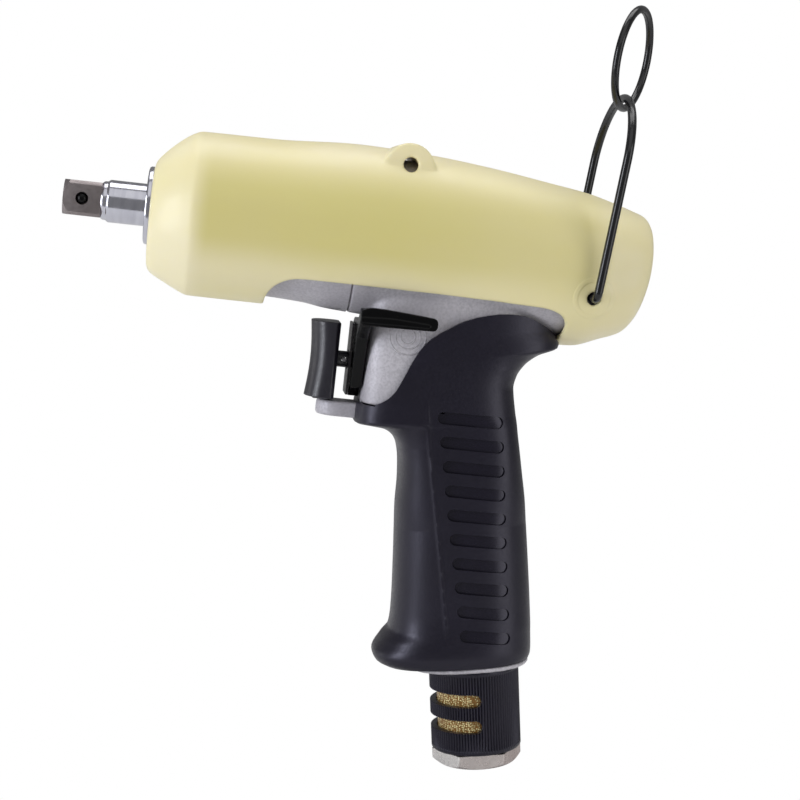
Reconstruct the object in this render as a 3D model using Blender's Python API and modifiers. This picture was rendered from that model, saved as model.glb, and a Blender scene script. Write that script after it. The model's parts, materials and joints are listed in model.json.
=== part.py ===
"""Pistol-grip oil-pulse air wrench with a square drive, rubber cover and hanger bail.

Units: every dimension below is in millimetres and is scaled by MM when geometry is made.
Frame: origin at the centre of the square drive's front end face. +X runs back along the spindle,
+Z is up, the handle hangs towards -Z, and -Y is the side with the reversing wing.
"""

import math

import bmesh
import bpy
from mathutils import Matrix, Vector

MM = 0.001
GAP = 0.3                 # clearance between neighbouring solids

# Spindle and nose
SQUARE = 9.525            # 3/8 inch square drive
SQUARE_LENGTH = 10.4
SHAFT_RADIUS = 5.85
NOSE_FRONT = 22.2
NOSE_FLANGE_RADIUS = 10.75
NOSE_BODY_RADIUS = 9.3
DETENT_X = 5.2
DETENT_RADIUS = 1.45
DETENT_TRAVEL = 0.9

# Barrel
SEAM_X = 80.5             # joint plane between front case and main housing
CASE_FRONT = 26.2
PULSE_BORE = 14.2
MOTOR_BORE = 14.9
MOTOR_END = 123.0
COVER_WALL = 1.8

# Handle: an axis through HANDLE_ROOT, raked back from straight down
HANDLE_ROOT = 110.0
HANDLE_RAKE = math.radians(8.55)
GRIP_BOTTOM = 119.2
FOOT_BOTTOM = 120.2
SLEEVE_TOP = 121.0
SLEEVE_BOTTOM = 145.6
SLEEVE_RADIUS = 12.9
HEX_ACROSS_FLATS = 22.4
HEX_TOP = 145.9
HEX_BOTTOM = 150.0
INLET_BORE = 5.9          # drill size of a G 1/4 inlet
STEM_RADIUS = 8.0
STEM_TOP = 109.0
MUFFLER_TOP = 125.2
MUFFLER_LENGTH = 16.9

# Trigger and valve: a rod axis parallel to the spindle
ROD_Z = -36.8
TRIGGER_FRONT = 71.2
TRIGGER_REAR = 79.4
TRIGGER_TOP = -26.4
TRIGGER_BOTTOM = -47.8
TRIGGER_HALF_WIDTH = 7.0
BOSS_RADIUS = 2.3
PIN_X = 81.4
HANDLE_FACE = 86.9        # front face of the cast handle root
CHAMBER_RADIUS = 7.0
VALVE_RADIUS = 6.7

# Motor
ROTOR_RADIUS = 10.4
ROTOR_FRONT = 87.3
ROTOR_BACK = 115.2
JOURNAL_RADIUS = 3.9
CYLINDER_BORE = 12.1
CYLINDER_OFFSET = 1.3     # the bore is eccentric, upwards
VANES = 5

# Pulse unit
PULSE_FRONT = 38.0
PULSE_BACK = 79.0
PULSE_RADIUS = 13.8
LINER_BORE = 11.0

# Hanger
BAIL_PIVOT = (146.5, 0.0, -11.7)
BAIL_HALF_WIDTH = 24.0
BAIL_HEIGHT = 56.2
BAIL_ARCH = 18.2
BAIL_LEAN = math.radians(5.4)
BAIL_WIRE = 1.2
RING_RADIUS = 13.8
RING_WIRE = 1.1
RING_LEAN = math.radians(6.2)
RING_TWIST = math.radians(28.3)

# Case screws
SCREW_CIRCLE = 17.1
SCREW_ANGLES = (45, 135, 225, 315)

UP = Vector((0, 0, 1))
BACK = Vector((1, 0, 0))
RIGHT = Vector((0, 1, 0))
DOWN_HANDLE = Vector((math.sin(HANDLE_RAKE), 0, -math.cos(HANDLE_RAKE)))
ACROSS_HANDLE = Vector((math.cos(HANDLE_RAKE), 0, math.sin(HANDLE_RAKE)))


# ---------------------------------------------------------------- scene

def clear_scene():
    for obj in list(bpy.data.objects):
        bpy.data.objects.remove(obj, do_unlink=True)


def new_collection(name):
    collection = bpy.data.collections.new(name)
    bpy.context.scene.collection.children.link(collection)
    return collection


clear_scene()
PARTS = new_collection("pulse_wrench")
CUTTERS = new_collection("cutters")


def material(name, colour, roughness, metallic=0.0, alpha=1.0):
    mat = bpy.data.materials.get(name)
    if mat:
        return mat
    mat = bpy.data.materials.new(name)
    mat.use_nodes = True
    shader = mat.node_tree.nodes["Principled BSDF"]
    shader.inputs["Base Color"].default_value = (*colour, 1.0)
    shader.inputs["Roughness"].default_value = roughness
    shader.inputs["Metallic"].default_value = metallic
    shader.inputs["Alpha"].default_value = alpha
    return mat


def cast_aluminium():
    return material("cast_aluminium", (0.38, 0.37, 0.41), 0.45, 0.9)


def cover_rubber():
    return material("cover_rubber", (0.86, 0.79, 0.45), 0.4, 0.0, 0.9)


def grip_rubber():
    return material("grip_rubber", (0.02, 0.02, 0.025), 0.65)


def black_plastic():
    return material("black_plastic", (0.03, 0.03, 0.035), 0.35)


def black_wire():
    return material("black_wire", (0.04, 0.04, 0.045), 0.3, 0.7)


def polished_steel():
    return material("polished_steel", (0.6, 0.6, 0.62), 0.2, 1.0)


def dark_steel():
    return material("dark_steel", (0.16, 0.15, 0.15), 0.35, 0.9)


def hardened_steel():
    return material("hardened_steel", (0.42, 0.42, 0.44), 0.3, 1.0)


def nickel():
    return material("nickel", (0.6, 0.58, 0.55), 0.28, 1.0)


def brass():
    return material("brass", (0.7, 0.5, 0.2), 0.4, 1.0)


def bronze():
    return material("bronze", (0.5, 0.33, 0.16), 0.4, 1.0)


def vane_fibre():
    return material("vane_fibre", (0.28, 0.17, 0.08), 0.6)


def seal_rubber():
    return material("seal_rubber", (0.015, 0.015, 0.015), 0.6)


def felt():
    return material("felt", (0.55, 0.53, 0.48), 0.95)


# ---------------------------------------------------------------- shapes

def place(obj, mat):
    """A finished part: its own material slot, in the part collection."""
    PARTS.objects.link(obj)
    obj.data.materials.append(mat)
    return obj


def cutter(obj):
    """A helper solid for a Boolean, hidden from renders."""
    CUTTERS.objects.link(obj)
    obj.hide_render = True
    obj.display_type = "WIRE"
    return obj


def smooth(obj, degrees=35):
    obj.data.shade_smooth()
    obj.data.set_sharp_from_angle(angle=math.radians(degrees))


def boolean(obj, other, operation="DIFFERENCE"):
    modifier = obj.modifiers.new(operation.lower(), "BOOLEAN")
    modifier.operation = operation
    modifier.object = other
    return obj


def aligned(origin, direction):
    """A matrix at origin, in mm, whose local Z is direction."""
    turn = Vector(direction).to_track_quat("Z", "Y").to_matrix().to_4x4()
    return Matrix.Translation(Vector(origin) * MM) @ turn


def turned(name, profile, origin=(0, 0, 0), direction=BACK, steps=24):
    """A turned shape. The profile's (radius, distance) points run from the far end of its outer
    side to the near end; a profile that doesn't start and end on the axis is closed into a ring."""
    mesh = bpy.data.meshes.new(name)
    points = [(radius * MM, 0.0, distance * MM) for radius, distance in profile]
    edges = [(i, i + 1) for i in range(len(points) - 1)]
    if profile[0][0] > 0:
        edges.append((len(points) - 1, 0))
    mesh.from_pydata(points, edges, [])
    obj = bpy.data.objects.new(name, mesh)
    obj.matrix_world = aligned(origin, direction)
    screw = obj.modifiers.new("turn", "SCREW")
    screw.steps = steps
    screw.render_steps = steps
    screw.use_merge_vertices = True
    screw.merge_threshold = 0.000001
    screw.use_smooth_shade = True
    return obj


def rod(name, radius, near, far, origin=(0, 0, 0), direction=BACK, steps=24):
    profile = [(0, far), (radius, far), (radius, near), (0, near)]
    return turned(name, profile, origin, direction, steps)


def tube(name, outer, inner, near, far, origin=(0, 0, 0), direction=BACK, steps=24):
    profile = [(outer, far), (outer, near), (inner, near), (inner, far)]
    return turned(name, profile, origin, direction, steps)


def box(name, low, high, origin=(0, 0, 0), frame=None):
    """A box from low to high, in mm about origin, along the world axes or a 3x3 frame."""
    size = [b - a for a, b in zip(low, high)]
    centre = Vector([(a + b) / 2 for a, b in zip(low, high)])
    mesh = bpy.data.meshes.new(name)
    shape = bmesh.new()
    bmesh.ops.create_cube(shape, size=MM)
    bmesh.ops.scale(shape, vec=size, verts=shape.verts)
    bmesh.ops.translate(shape, vec=centre * MM, verts=shape.verts)
    shape.to_mesh(mesh)
    shape.free()
    obj = bpy.data.objects.new(name, mesh)
    turn = frame.to_4x4() if frame else Matrix()
    obj.matrix_world = Matrix.Translation(Vector(origin) * MM) @ turn
    return obj


def plate(name, outline, thickness, matrix):
    """A flat outline, in mm, thickened both ways from the matrix's XY plane, as a mesh."""
    curve = bpy.data.curves.new(name, "CURVE")
    curve.dimensions = "2D"
    curve.fill_mode = "BOTH"
    curve.extrude = thickness / 2 * MM
    spline = curve.splines.new("POLY")
    spline.points.add(len(outline) - 1)
    for point, (x, y) in zip(spline.points, outline):
        point.co = (x * MM, y * MM, 0, 1)
    spline.use_cyclic_u = True
    drawn = bpy.data.objects.new(name + "_outline", curve)
    bpy.context.scene.collection.objects.link(drawn)
    graph = bpy.context.evaluated_depsgraph_get()
    mesh = bpy.data.meshes.new_from_object(drawn.evaluated_get(graph))
    bpy.data.objects.remove(drawn, do_unlink=True)
    shape = bmesh.new()
    shape.from_mesh(mesh)
    bmesh.ops.remove_doubles(shape, verts=shape.verts, dist=0.00001)
    bmesh.ops.recalc_face_normals(shape, faces=shape.faces)
    shape.to_mesh(mesh)
    shape.free()
    mesh.name = name
    obj = bpy.data.objects.new(name, mesh)
    obj.matrix_world = matrix
    return obj


def side_view(y=0.0, origin=(0, 0, 0)):
    """A matrix whose X is world X and whose Y is world Z, on the plane Y=y."""
    turn = Matrix(((1, 0, 0), (0, 0, -1), (0, 1, 0))).to_4x4()
    return Matrix.Translation((Vector(origin) + Vector((0, y, 0))) * MM) @ turn


def front_view(x, origin=(0, 0, 0)):
    """A matrix whose X is world Y and whose Y is world Z, on the plane X=x."""
    turn = Matrix(((0, 0, 1), (1, 0, 0), (0, 1, 0))).to_4x4()
    return Matrix.Translation((Vector(origin) + Vector((x, 0, 0))) * MM) @ turn


def loft(name, rings, cap_first=True):
    """A skin through rings of equally many points, in mm, with flat caps."""
    mesh = bpy.data.meshes.new(name)
    shape = bmesh.new()
    rows = [[shape.verts.new(Vector(point) * MM) for point in ring] for ring in rings]
    count = len(rings[0])
    for row, following in zip(rows, rows[1:]):
        for i in range(count):
            j = (i + 1) % count
            shape.faces.new((row[i], row[j], following[j], following[i]))
    if cap_first:
        shape.faces.new(reversed(rows[0]))
    shape.faces.new(rows[-1])
    bmesh.ops.recalc_face_normals(shape, faces=shape.faces)
    shape.to_mesh(mesh)
    shape.free()
    return bpy.data.objects.new(name, mesh)


def oval(half_x, half_y, power, count):
    """Points of a superellipse, anticlockwise from its first axis."""
    points = []
    for i in range(count):
        angle = 2 * math.pi * i / count
        c = math.cos(angle)
        s = math.sin(angle)
        x = math.copysign(abs(c) ** (2 / power), c) * half_x
        y = math.copysign(abs(s) ** (2 / power), s) * half_y
        points.append((x, y))
    return points


def barrel_ring(x, top, bottom, half_width, grow=0.0, count=32):
    middle = (top + bottom) / 2
    half_height = (top - bottom) / 2 + grow
    return [(x, y, middle + z) for y, z in oval(half_width + grow, half_height, 2, count)]


def handle_point(across, side, down):
    point = Vector((HANDLE_ROOT, 0, 0)) + ACROSS_HANDLE * across + DOWN_HANDLE * down
    return point + RIGHT * side


def handle_ring(down, front, rear, half_width, grow=0.0, power=2.5, count=28):
    middle = (front + rear) / 2
    half_depth = (rear - front) / 2 + grow
    points = oval(half_depth, half_width + grow, power, count)
    return [handle_point(middle + across, side, down) for across, side in points]


def root_ring(z, front, rear, half_width, grow=0.0, count=28):
    middle = (front + rear) / 2
    half_depth = (rear - front) / 2 + grow
    points = oval(half_depth, half_width + grow, 2.8, count)
    return [(middle + x, y, z) for x, y in points]


def wire(name, points, radius, closed=False, resolution=2):
    """A wire through points, in mm about the object's own origin."""
    curve = bpy.data.curves.new(name, "CURVE")
    curve.dimensions = "3D"
    curve.bevel_depth = radius * MM
    curve.bevel_resolution = resolution
    curve.use_fill_caps = True
    spline = curve.splines.new("POLY")
    spline.points.add(len(points) - 1)
    for point, place_mm in zip(spline.points, points):
        point.co = (*(Vector(place_mm) * MM), 1)
    spline.use_cyclic_u = closed
    return bpy.data.objects.new(name, curve)


def coil(name, radius, wire_radius, length, turns, origin, direction, per_turn=9):
    """A compression spring that starts at origin and runs along direction."""
    count = turns * per_turn + 1
    points = []
    for i in range(count):
        angle = 2 * math.pi * i / per_turn
        along = length * i / (count - 1)
        points.append((radius * math.cos(angle), radius * math.sin(angle), along))
    obj = wire(name, points, wire_radius, resolution=1)
    obj.matrix_world = aligned(origin, direction)
    return obj


def hexagon(across_flats):
    corner = across_flats / math.sqrt(3)
    angles = [i * math.pi / 3 for i in range(6)]
    return [(corner * math.cos(angle), corner * math.sin(angle)) for angle in angles]


def arc(centre, radius, start, end, count):
    """Points on an arc, from start to end degrees."""
    points = []
    for i in range(count):
        angle = math.radians(start + (end - start) * i / (count - 1))
        points.append((centre[0] + radius * math.cos(angle), centre[1] + radius * math.sin(angle)))
    return points


# ---------------------------------------------------------------- drive and nose

def main_shaft():
    """Square drive, shaft and pulse rotor in one piece, turning about the spindle."""
    rotor_front = 43.0
    rotor_back = 67.5
    profile = [
        (0, 72.0),
        (3.9, 72.0),
        (3.9, rotor_back),
        (7.4, rotor_back),
        (7.4, rotor_front),
        (SHAFT_RADIUS, rotor_front),
        (SHAFT_RADIUS, SQUARE_LENGTH + 0.5),
        (SHAFT_RADIUS - 0.5, SQUARE_LENGTH),
        (0, SQUARE_LENGTH),
    ]
    shaft = place(turned("main_shaft", profile, steps=32), polished_steel())
    half = SQUARE / 2
    chamfer = 0.8
    outline = []
    for y_side, z_side in ((1, 1), (-1, 1), (-1, -1), (1, -1)):
        near_y = (y_side * (half - chamfer), z_side * half)
        near_z = (y_side * half, z_side * (half - chamfer))
        outline += [near_z, near_y] if y_side * z_side > 0 else [near_y, near_z]
    square = cutter(
        plate("square_drive", outline, SQUARE_LENGTH + 2, front_view((SQUARE_LENGTH + 2) / 2))
    )
    boolean(shaft, square, "UNION")
    slot = cutter(box("blade_slot", (44.5, -1.45, -9), (66.5, 1.45, 9)))
    boolean(shaft, slot)
    pocket = cutter(rod("detent_pocket", DETENT_RADIUS + 0.25, -6, 1.2, (DETENT_X, 0, 0), RIGHT, 16))
    boolean(shaft, pocket)


def detent_pin():
    """The sprung pin in the square that holds a socket."""
    length = 3.0
    dome = 0.6
    profile = [
        (0, length + dome),
        (DETENT_RADIUS * 0.7, length + dome * 0.6),
        (DETENT_RADIUS, length),
        (DETENT_RADIUS, 0),
        (0, 0),
    ]
    start = (DETENT_X, -(SQUARE / 2 - length + 0.2), 0)
    place(turned("detent_pin", profile, start, -RIGHT, 16), dark_steel())


def detent_spring():
    place(coil("detent_spring", 0.8, 0.2, 1.2, 3, (DETENT_X, 0.8, 0), -RIGHT, 8), hardened_steel())


def nose_bushing():
    profile = [
        (NOSE_BODY_RADIUS, 36.0),
        (NOSE_BODY_RADIUS, 23.5),
        (NOSE_FLANGE_RADIUS, 23.5),
        (NOSE_FLANGE_RADIUS, NOSE_FRONT + 0.5),
        (NOSE_FLANGE_RADIUS - 0.6, NOSE_FRONT),
        (7.4, NOSE_FRONT),
        (7.4, 36.0),
    ]
    place(turned("nose_bushing", profile, steps=32), polished_steel())


def shaft_bush():
    place(tube("shaft_bush", 7.1, SHAFT_RADIUS + GAP, 22.8, 36.0), bronze())


def shaft_seal():
    place(tube("shaft_seal", 9.0, SHAFT_RADIUS + GAP, 36.3, 37.4), seal_rubber())


# ---------------------------------------------------------------- pulse unit

def pulse_case():
    place(tube("pulse_case", PULSE_RADIUS, LINER_BORE, PULSE_FRONT, PULSE_BACK), hardened_steel())


def front_liner_plate():
    place(
        tube("front_liner_plate", LINER_BORE - GAP, SHAFT_RADIUS + GAP, PULSE_FRONT + 0.4, 42.6),
        hardened_steel(),
    )


def rear_liner_plate():
    """Closes the oil chamber, carries the shaft's pilot and takes the rotor's hexagon."""
    front = 68.0
    back = 78.5
    disc = place(rod("rear_liner_plate", LINER_BORE - GAP, front, back), hardened_steel())
    pilot = cutter(rod("pilot_hole", 4.2, front - 1, 72.6))
    boolean(disc, pilot)
    socket_length = 4.5
    socket = cutter(
        plate("hex_socket", hexagon(6.8), socket_length + 1, front_view(back + 0.5 - socket_length / 2))
    )
    boolean(disc, socket)
    tapped = cutter(rod("relief_hole", 1.6, 72.0, back + 1, (0, 0, 7.6), steps=12))
    boolean(disc, tapped)


def relief_screw():
    """Sets the oil bypass, and so the torque."""
    place(rod("relief_screw", 1.3, 72.8, 78.2, (0, 0, 7.6), steps=12), dark_steel())


def pulse_blades():
    for name, side in (("pulse_blade_upper", 1), ("pulse_blade_lower", -1)):
        low, high = sorted((3.6 * side, (LINER_BORE - 0.4) * side))
        place(box(name, (44.9, -1.15, low), (66.1, 1.15, high)), hardened_steel())


def blade_springs():
    for name, x in (("blade_spring_front", 50.0), ("blade_spring_rear", 61.0)):
        place(coil(name, 0.8, 0.2, 6.0, 5, (x, 0, -3.0), UP, 8), hardened_steel())


# ---------------------------------------------------------------- motor

def rotor():
    """Five-slot rotor with a hexagon that drives the pulse unit."""
    profile = [
        (0, 122.0),
        (JOURNAL_RADIUS, 122.0),
        (JOURNAL_RADIUS, ROTOR_BACK),
        (ROTOR_RADIUS, ROTOR_BACK),
        (ROTOR_RADIUS, ROTOR_FRONT),
        (JOURNAL_RADIUS, ROTOR_FRONT),
        (JOURNAL_RADIUS, 79.6),
        (0, 79.6),
    ]
    body = place(turned("rotor", profile), hardened_steel())
    tip = cutter(plate("rotor_hexagon", hexagon(6.0), 6.0, front_view(77.4)))
    boolean(body, tip, "UNION")
    for i in range(VANES):
        slot = cutter(box(f"vane_slot_{i + 1}", (85.0, -1.05, 4.9), (118.0, 1.05, 12.0)))
        slot.matrix_world = Matrix.Rotation(2 * math.pi * i / VANES, 4, "X")
        boolean(body, slot)


def vanes():
    for i in range(VANES):
        vane = place(
            box(f"vane_{i + 1}", (87.7, -0.75, 5.3), (114.8, 0.75, ROTOR_RADIUS - 0.15)),
            vane_fibre(),
        )
        vane.matrix_world = Matrix.Rotation(2 * math.pi * i / VANES, 4, "X")


def motor_cylinder():
    """Its bore is set up from the spindle, so that the vane chambers grow and shrink."""
    outer = MOTOR_BORE - GAP
    body = place(rod("motor_cylinder", outer, 86.9, 115.6), hardened_steel())
    bore = cutter(rod("cylinder_bore", CYLINDER_BORE, 80, 120, (0, 0, CYLINDER_OFFSET)))
    boolean(body, bore)
    port = cutter(rod("cylinder_port", 2.0, 8, 18, (98, 0, 0), -UP, 12))
    boolean(body, port)


def end_plates():
    outer = MOTOR_BORE - GAP
    web = JOURNAL_RADIUS + 0.5
    seat = 8.1
    front = [(outer, 86.6), (outer, 81.0), (seat, 81.0), (seat, 85.2), (web, 85.2), (web, 86.6)]
    rear = [(outer, 122.3), (outer, 115.9), (web, 115.9), (web, 117.4), (seat, 117.4), (seat, 122.3)]
    place(turned("front_end_plate", front), cast_aluminium())
    place(turned("rear_end_plate", rear), cast_aluminium())


def rotor_bearings():
    for name, near in (("front_bearing", 81.3), ("rear_bearing", 117.7)):
        place(tube(name, 7.8, JOURNAL_RADIUS + GAP, near, near + 3.6), polished_steel())


# ---------------------------------------------------------------- castings

# (x, top, bottom, half width) down the barrel
FRONT_CASE_STATIONS = (
    (CASE_FRONT, 11.4, -11.4, 11.4),
    (34.0, 11.4, -11.4, 11.4),
    (35.8, 18.4, -19.2, 18.6),
    (38.0, 19.6, -21.3, 20.1),
    (56.0, 19.3, -21.5, 20.2),
    (68.0, 19.9, -22.1, 20.3),
    (74.0, 20.2, -23.0, 20.35),
    (SEAM_X - 0.15, 20.4, -23.5, 20.4),
)
HOUSING_STATIONS = (
    (SEAM_X + 0.15, 20.4, -23.5, 20.4),
    (86.0, 20.4, -23.8, 20.4),
    (100.0, 20.1, -24.0, 20.4),
    (116.0, 18.6, -24.2, 20.1),
    (135.0, 16.0, -24.3, 19.4),
    (144.5, 14.6, -23.8, 18.7),
    (152.5, 12.6, -21.1, 17.6),
    (158.0, 10.4, -18.0, 15.6),
    (160.5, 8.4, -15.0, 12.5),
)
# (z, front x, rear x, half width) down the handle root
ROOT_STATIONS = (
    (-6.0, 87.5, 132.0, 14.0),
    (-22.0, HANDLE_FACE, 130.0, 15.4),
    (-34.0, HANDLE_FACE, 126.5, 15.6),
    (-47.5, HANDLE_FACE, 126.0, 15.4),
)
# (distance down the handle, front, rear, half width)
CORE_STATIONS = (
    (30.0, -15.5, 10.2, 12.5),
    (57.0, -15.3, 10.6, 12.5),
    (75.0, -17.0, 12.2, 12.3),
    (105.0, -19.0, 12.6, 12.6),
    (GRIP_BOTTOM + GAP + 0.1, -19.0, 12.6, 13.0),
)


def barrel(name, grow=0.0):
    return loft(name, [barrel_ring(*station, grow=grow) for station in HOUSING_STATIONS])


def handle_core(name, grow=0.0):
    return loft(name, [handle_ring(*station, grow=grow) for station in CORE_STATIONS])


def handle_root(name, grow=0.0):
    rings = [root_ring(*station, grow=grow) for station in ROOT_STATIONS]
    lowest = ROOT_STATIONS[-1]
    if grow:
        rings.append(root_ring(lowest[0] - grow, *lowest[1:], grow=grow))
    return loft(name, rings)


def screw_holes(radius, near, far):
    for angle in SCREW_ANGLES:
        y = SCREW_CIRCLE * math.cos(math.radians(angle))
        z = SCREW_CIRCLE * math.sin(math.radians(angle))
        yield cutter(rod("screw_hole", radius, near, far, (0, y, z), steps=12))


def front_case():
    rings = [barrel_ring(*station) for station in FRONT_CASE_STATIONS]
    case = place(loft("front_case", rings), cast_aluminium())
    smooth(case)
    boolean(case, cutter(rod("nose_bore", NOSE_BODY_RADIUS + GAP, 20, 40, steps=32)))
    boolean(case, cutter(rod("pulse_bore", PULSE_BORE, 37.6, 90, steps=32)))
    for hole in screw_holes(1.5, 30, 90):
        boolean(case, hole)
    for counterbore in screw_holes(2.3, 30, 38.6):
        boolean(case, counterbore)


def main_housing():
    """Barrel, handle root, handle core, foot and trigger guard tab in one casting."""
    housing = place(barrel("main_housing"), cast_aluminium())
    boolean(housing, cutter(handle_root("housing_root")), "UNION")
    boolean(housing, cutter(handle_core("housing_core")), "UNION")
    foot_rings = [
        handle_ring(GRIP_BOTTOM + GAP, -27.2, 15.2, 16.8),
        handle_ring(FOOT_BOTTOM, -26.6, 14.9, 16.4),
    ]
    boolean(housing, cutter(loft("housing_foot", foot_rings)), "UNION")
    boolean(housing, cutter(guard_tab()), "UNION")
    boolean(housing, cutter(box("guard_neck", (84.0, -4.8, -52.0), (102.0, 4.8, -49.6))), "UNION")
    boolean(housing, cutter(rod("motor_bore", MOTOR_BORE, 70, MOTOR_END, steps=32)))
    boolean(housing, cutter(rod("exhaust_chamber", 10.5, 110, 141)))
    valve_axis = (0, 0, ROD_Z)
    boolean(housing, cutter(rod("valve_chamber", CHAMBER_RADIUS, 80, 120.5, valve_axis)))
    boolean(housing, cutter(rod("motor_port", 3.0, 13, 33, (98, 0, 0), -UP, 12)))
    handle_axis = (HANDLE_ROOT, 0, 0)
    boolean(housing, cutter(rod("air_bore", 5.6, 33, 130, handle_axis, DOWN_HANDLE, 24)))
    boolean(housing, cutter(rod("stem_bore", STEM_RADIUS + GAP, 108.5, 130, handle_axis, DOWN_HANDLE)))
    for hole in screw_holes(1.5, 70, 93):
        boolean(housing, hole)
    for side in (-1, 1):
        hole = rod("bail_socket", BAIL_WIRE + GAP + 0.1, 14.2, 26, BAIL_PIVOT, RIGHT * side, 16)
        boolean(housing, cutter(hole))


def guard_tab():
    """The bar below the trigger, round at its front end."""
    half_width = 5.4
    rear = 85.0
    front = 74.9
    outline = arc((front + half_width, 0), half_width, 90, 270, 13)
    outline += [(rear, -half_width), (rear, half_width)]
    middle = (-48.4 - 52.7) / 2
    tab = plate("guard_tab", outline, 52.7 - 48.4, Matrix.Translation((0, 0, middle * MM)))
    bevel = tab.modifiers.new("round", "BEVEL")
    bevel.width = 1.3 * MM
    bevel.segments = 2
    bevel.limit_method = "ANGLE"
    bevel.angle_limit = math.radians(60)
    return tab


def case_screws():
    """Long socket screws that pull the front case on to the housing."""
    for number, angle in enumerate(SCREW_ANGLES, 1):
        y = SCREW_CIRCLE * math.cos(math.radians(angle))
        z = SCREW_CIRCLE * math.sin(math.radians(angle))
        profile = [(0, 92.5), (1.2, 92.5), (1.2, 38.3), (2.0, 38.3), (2.0, 36.6), (0, 36.6)]
        place(turned(f"case_screw_{number}", profile, (0, y, z), steps=12), dark_steel())


# ---------------------------------------------------------------- cover and grip

# (x, top, bottom, half width) of the cover's outside
COVER_STATIONS = (
    (23.8, 12.0, -17.0, 14.5),
    (25.2, 13.9, -18.6, 16.2),
    (29.3, 17.6, -20.6, 18.9),
    (33.8, 20.9, -22.8, 21.4),
    (36.2, 21.8, -23.6, 22.3),
    (56.0, 21.5, -23.7, 22.4),
    (80.0, 22.7, -23.9, 22.6),
    (100.0, 22.4, -24.6, 22.6),
    (116.0, 20.9, -25.6, 22.3),
    (135.0, 18.3, -26.6, 21.7),
    (144.5, 16.9, -26.3, 21.0),
    (152.5, 14.9, -23.6, 20.0),
    (157.8, 13.2, -20.9, 18.6),
    (161.0, 11.6, -18.1, 16.4),
    (163.2, 8.7, -14.1, 13.0),
    (164.3, 4.2, -8.0, 7.4),
)
LUG_X = 93.0
LUG_Z = 18.9


def cover_opening():
    """Side outline of what is cut away from below: the belly of the casing and the handle."""
    notch = [(57.2, -32.0), (57.4, -21.6), (58.0, -20.0), (59.8, -17.7), (61.8, -16.2), (65.0, -15.3)]
    edge = [(80.0, -15.0), (104.0, -15.1), (133.0, -15.7)]
    rear_corner = [(136.8, -16.2), (139.1, -17.4), (140.3, -19.3), (140.4, -21.3)]
    rear_lip = [(139.5, -24.3), (138.6, -32.0)]
    return notch + edge + rear_corner + rear_lip


def lug_outline():
    """Half-round hanging lug across the top of the cover."""
    half_width = 7.2
    return [(-half_width, -6.0), (-half_width, 1.2)] + [
        (-x, z) for x, z in arc((0, -0.6), 7.0, 20, 160, 9)
    ] + [(half_width, 1.2), (half_width, -6.0)]


def protective_cover():
    hole = NOSE_FLANGE_RADIUS + GAP
    rings = [barrel_ring(23.5, hole, -hole, hole)]
    rings += [barrel_ring(*station) for station in COVER_STATIONS]
    rings.append(barrel_ring(164.5, 0.4, -4.2, 3.0))
    cover = place(loft("protective_cover", rings, cap_first=False), cover_rubber())
    wall = cover.modifiers.new("wall", "SOLIDIFY")
    wall.thickness = COVER_WALL * MM
    wall.offset = -1
    lug = cutter(plate("hanging_lug", lug_outline(), 26.0, side_view(0, (LUG_X, 0, LUG_Z))))
    boolean(cover, lug, "UNION")
    casing = FRONT_CASE_STATIONS[2:] + HOUSING_STATIONS
    rings = [barrel_ring(*station, grow=GAP) for station in casing]
    boolean(cover, cutter(loft("casing_clearance", rings)))
    boolean(cover, cutter(plate("cover_opening", cover_opening(), 60.0, side_view())))
    boolean(cover, cutter(rod("lug_hole", 2.0, -20, 20, (LUG_X + 0.2, 0, LUG_Z), RIGHT, 16)))
    boolean(cover, cutter(rod("bail_holes", BAIL_WIRE + 0.6, -30, 30, BAIL_PIVOT, RIGHT, 16)))


# (distance down the handle, front, rear, half width)
GRIP_STATIONS = (
    (10.0, -26.0, 27.2, 17.4),
    (31.0, -29.0, 27.2, 17.4),
    (32.8, -29.4, 21.0, 17.4),
    (35.5, -29.8, 16.4, 17.3),
    (38.5, -30.2, 14.0, 17.2),
    (42.0, -30.8, 13.2, 17.1),
    (49.5, -31.8, 13.7, 16.9),
    (50.8, -30.0, 13.8, 16.9),
    (52.0, -23.8, 13.9, 16.8),
    (54.0, -20.4, 14.1, 16.8),
    (57.0, -19.0, 14.3, 16.7),
    (66.0, -19.7, 15.1, 16.6),
    (75.0, -20.9, 15.9, 16.4),
    (89.0, -21.9, 16.3, 16.4),
    (104.0, -23.2, 16.5, 16.6),
    (109.0, -24.2, 16.5, 17.0),
    (112.0, -26.8, 16.4, 17.4),
    (116.0, -29.2, 16.3, 17.8),
    (118.0, -28.4, 16.1, 17.5),
    (GRIP_BOTTOM, -26.4, 15.6, 17.0),
)


def grip_border():
    """Side outline of the bare metal above and in front of the rubber."""
    front = [(70.0, -47.8), (90.1, -47.5), (93.4, -45.9), (95.8, -43.0)]
    rise = [(97.5, -38.6), (100.8, -31.2), (103.8, -27.5), (108.5, -24.1), (112.4, -21.7)]
    crown = [(118.5, -19.6), (124.7, -18.6), (129.0, -18.8), (133.4, -20.2), (137.9, -22.6)]
    return front + rise + crown + [(139.2, -24.4), (150.0, -25.6), (150.0, 10.0), (70.0, 10.0)]


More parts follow.
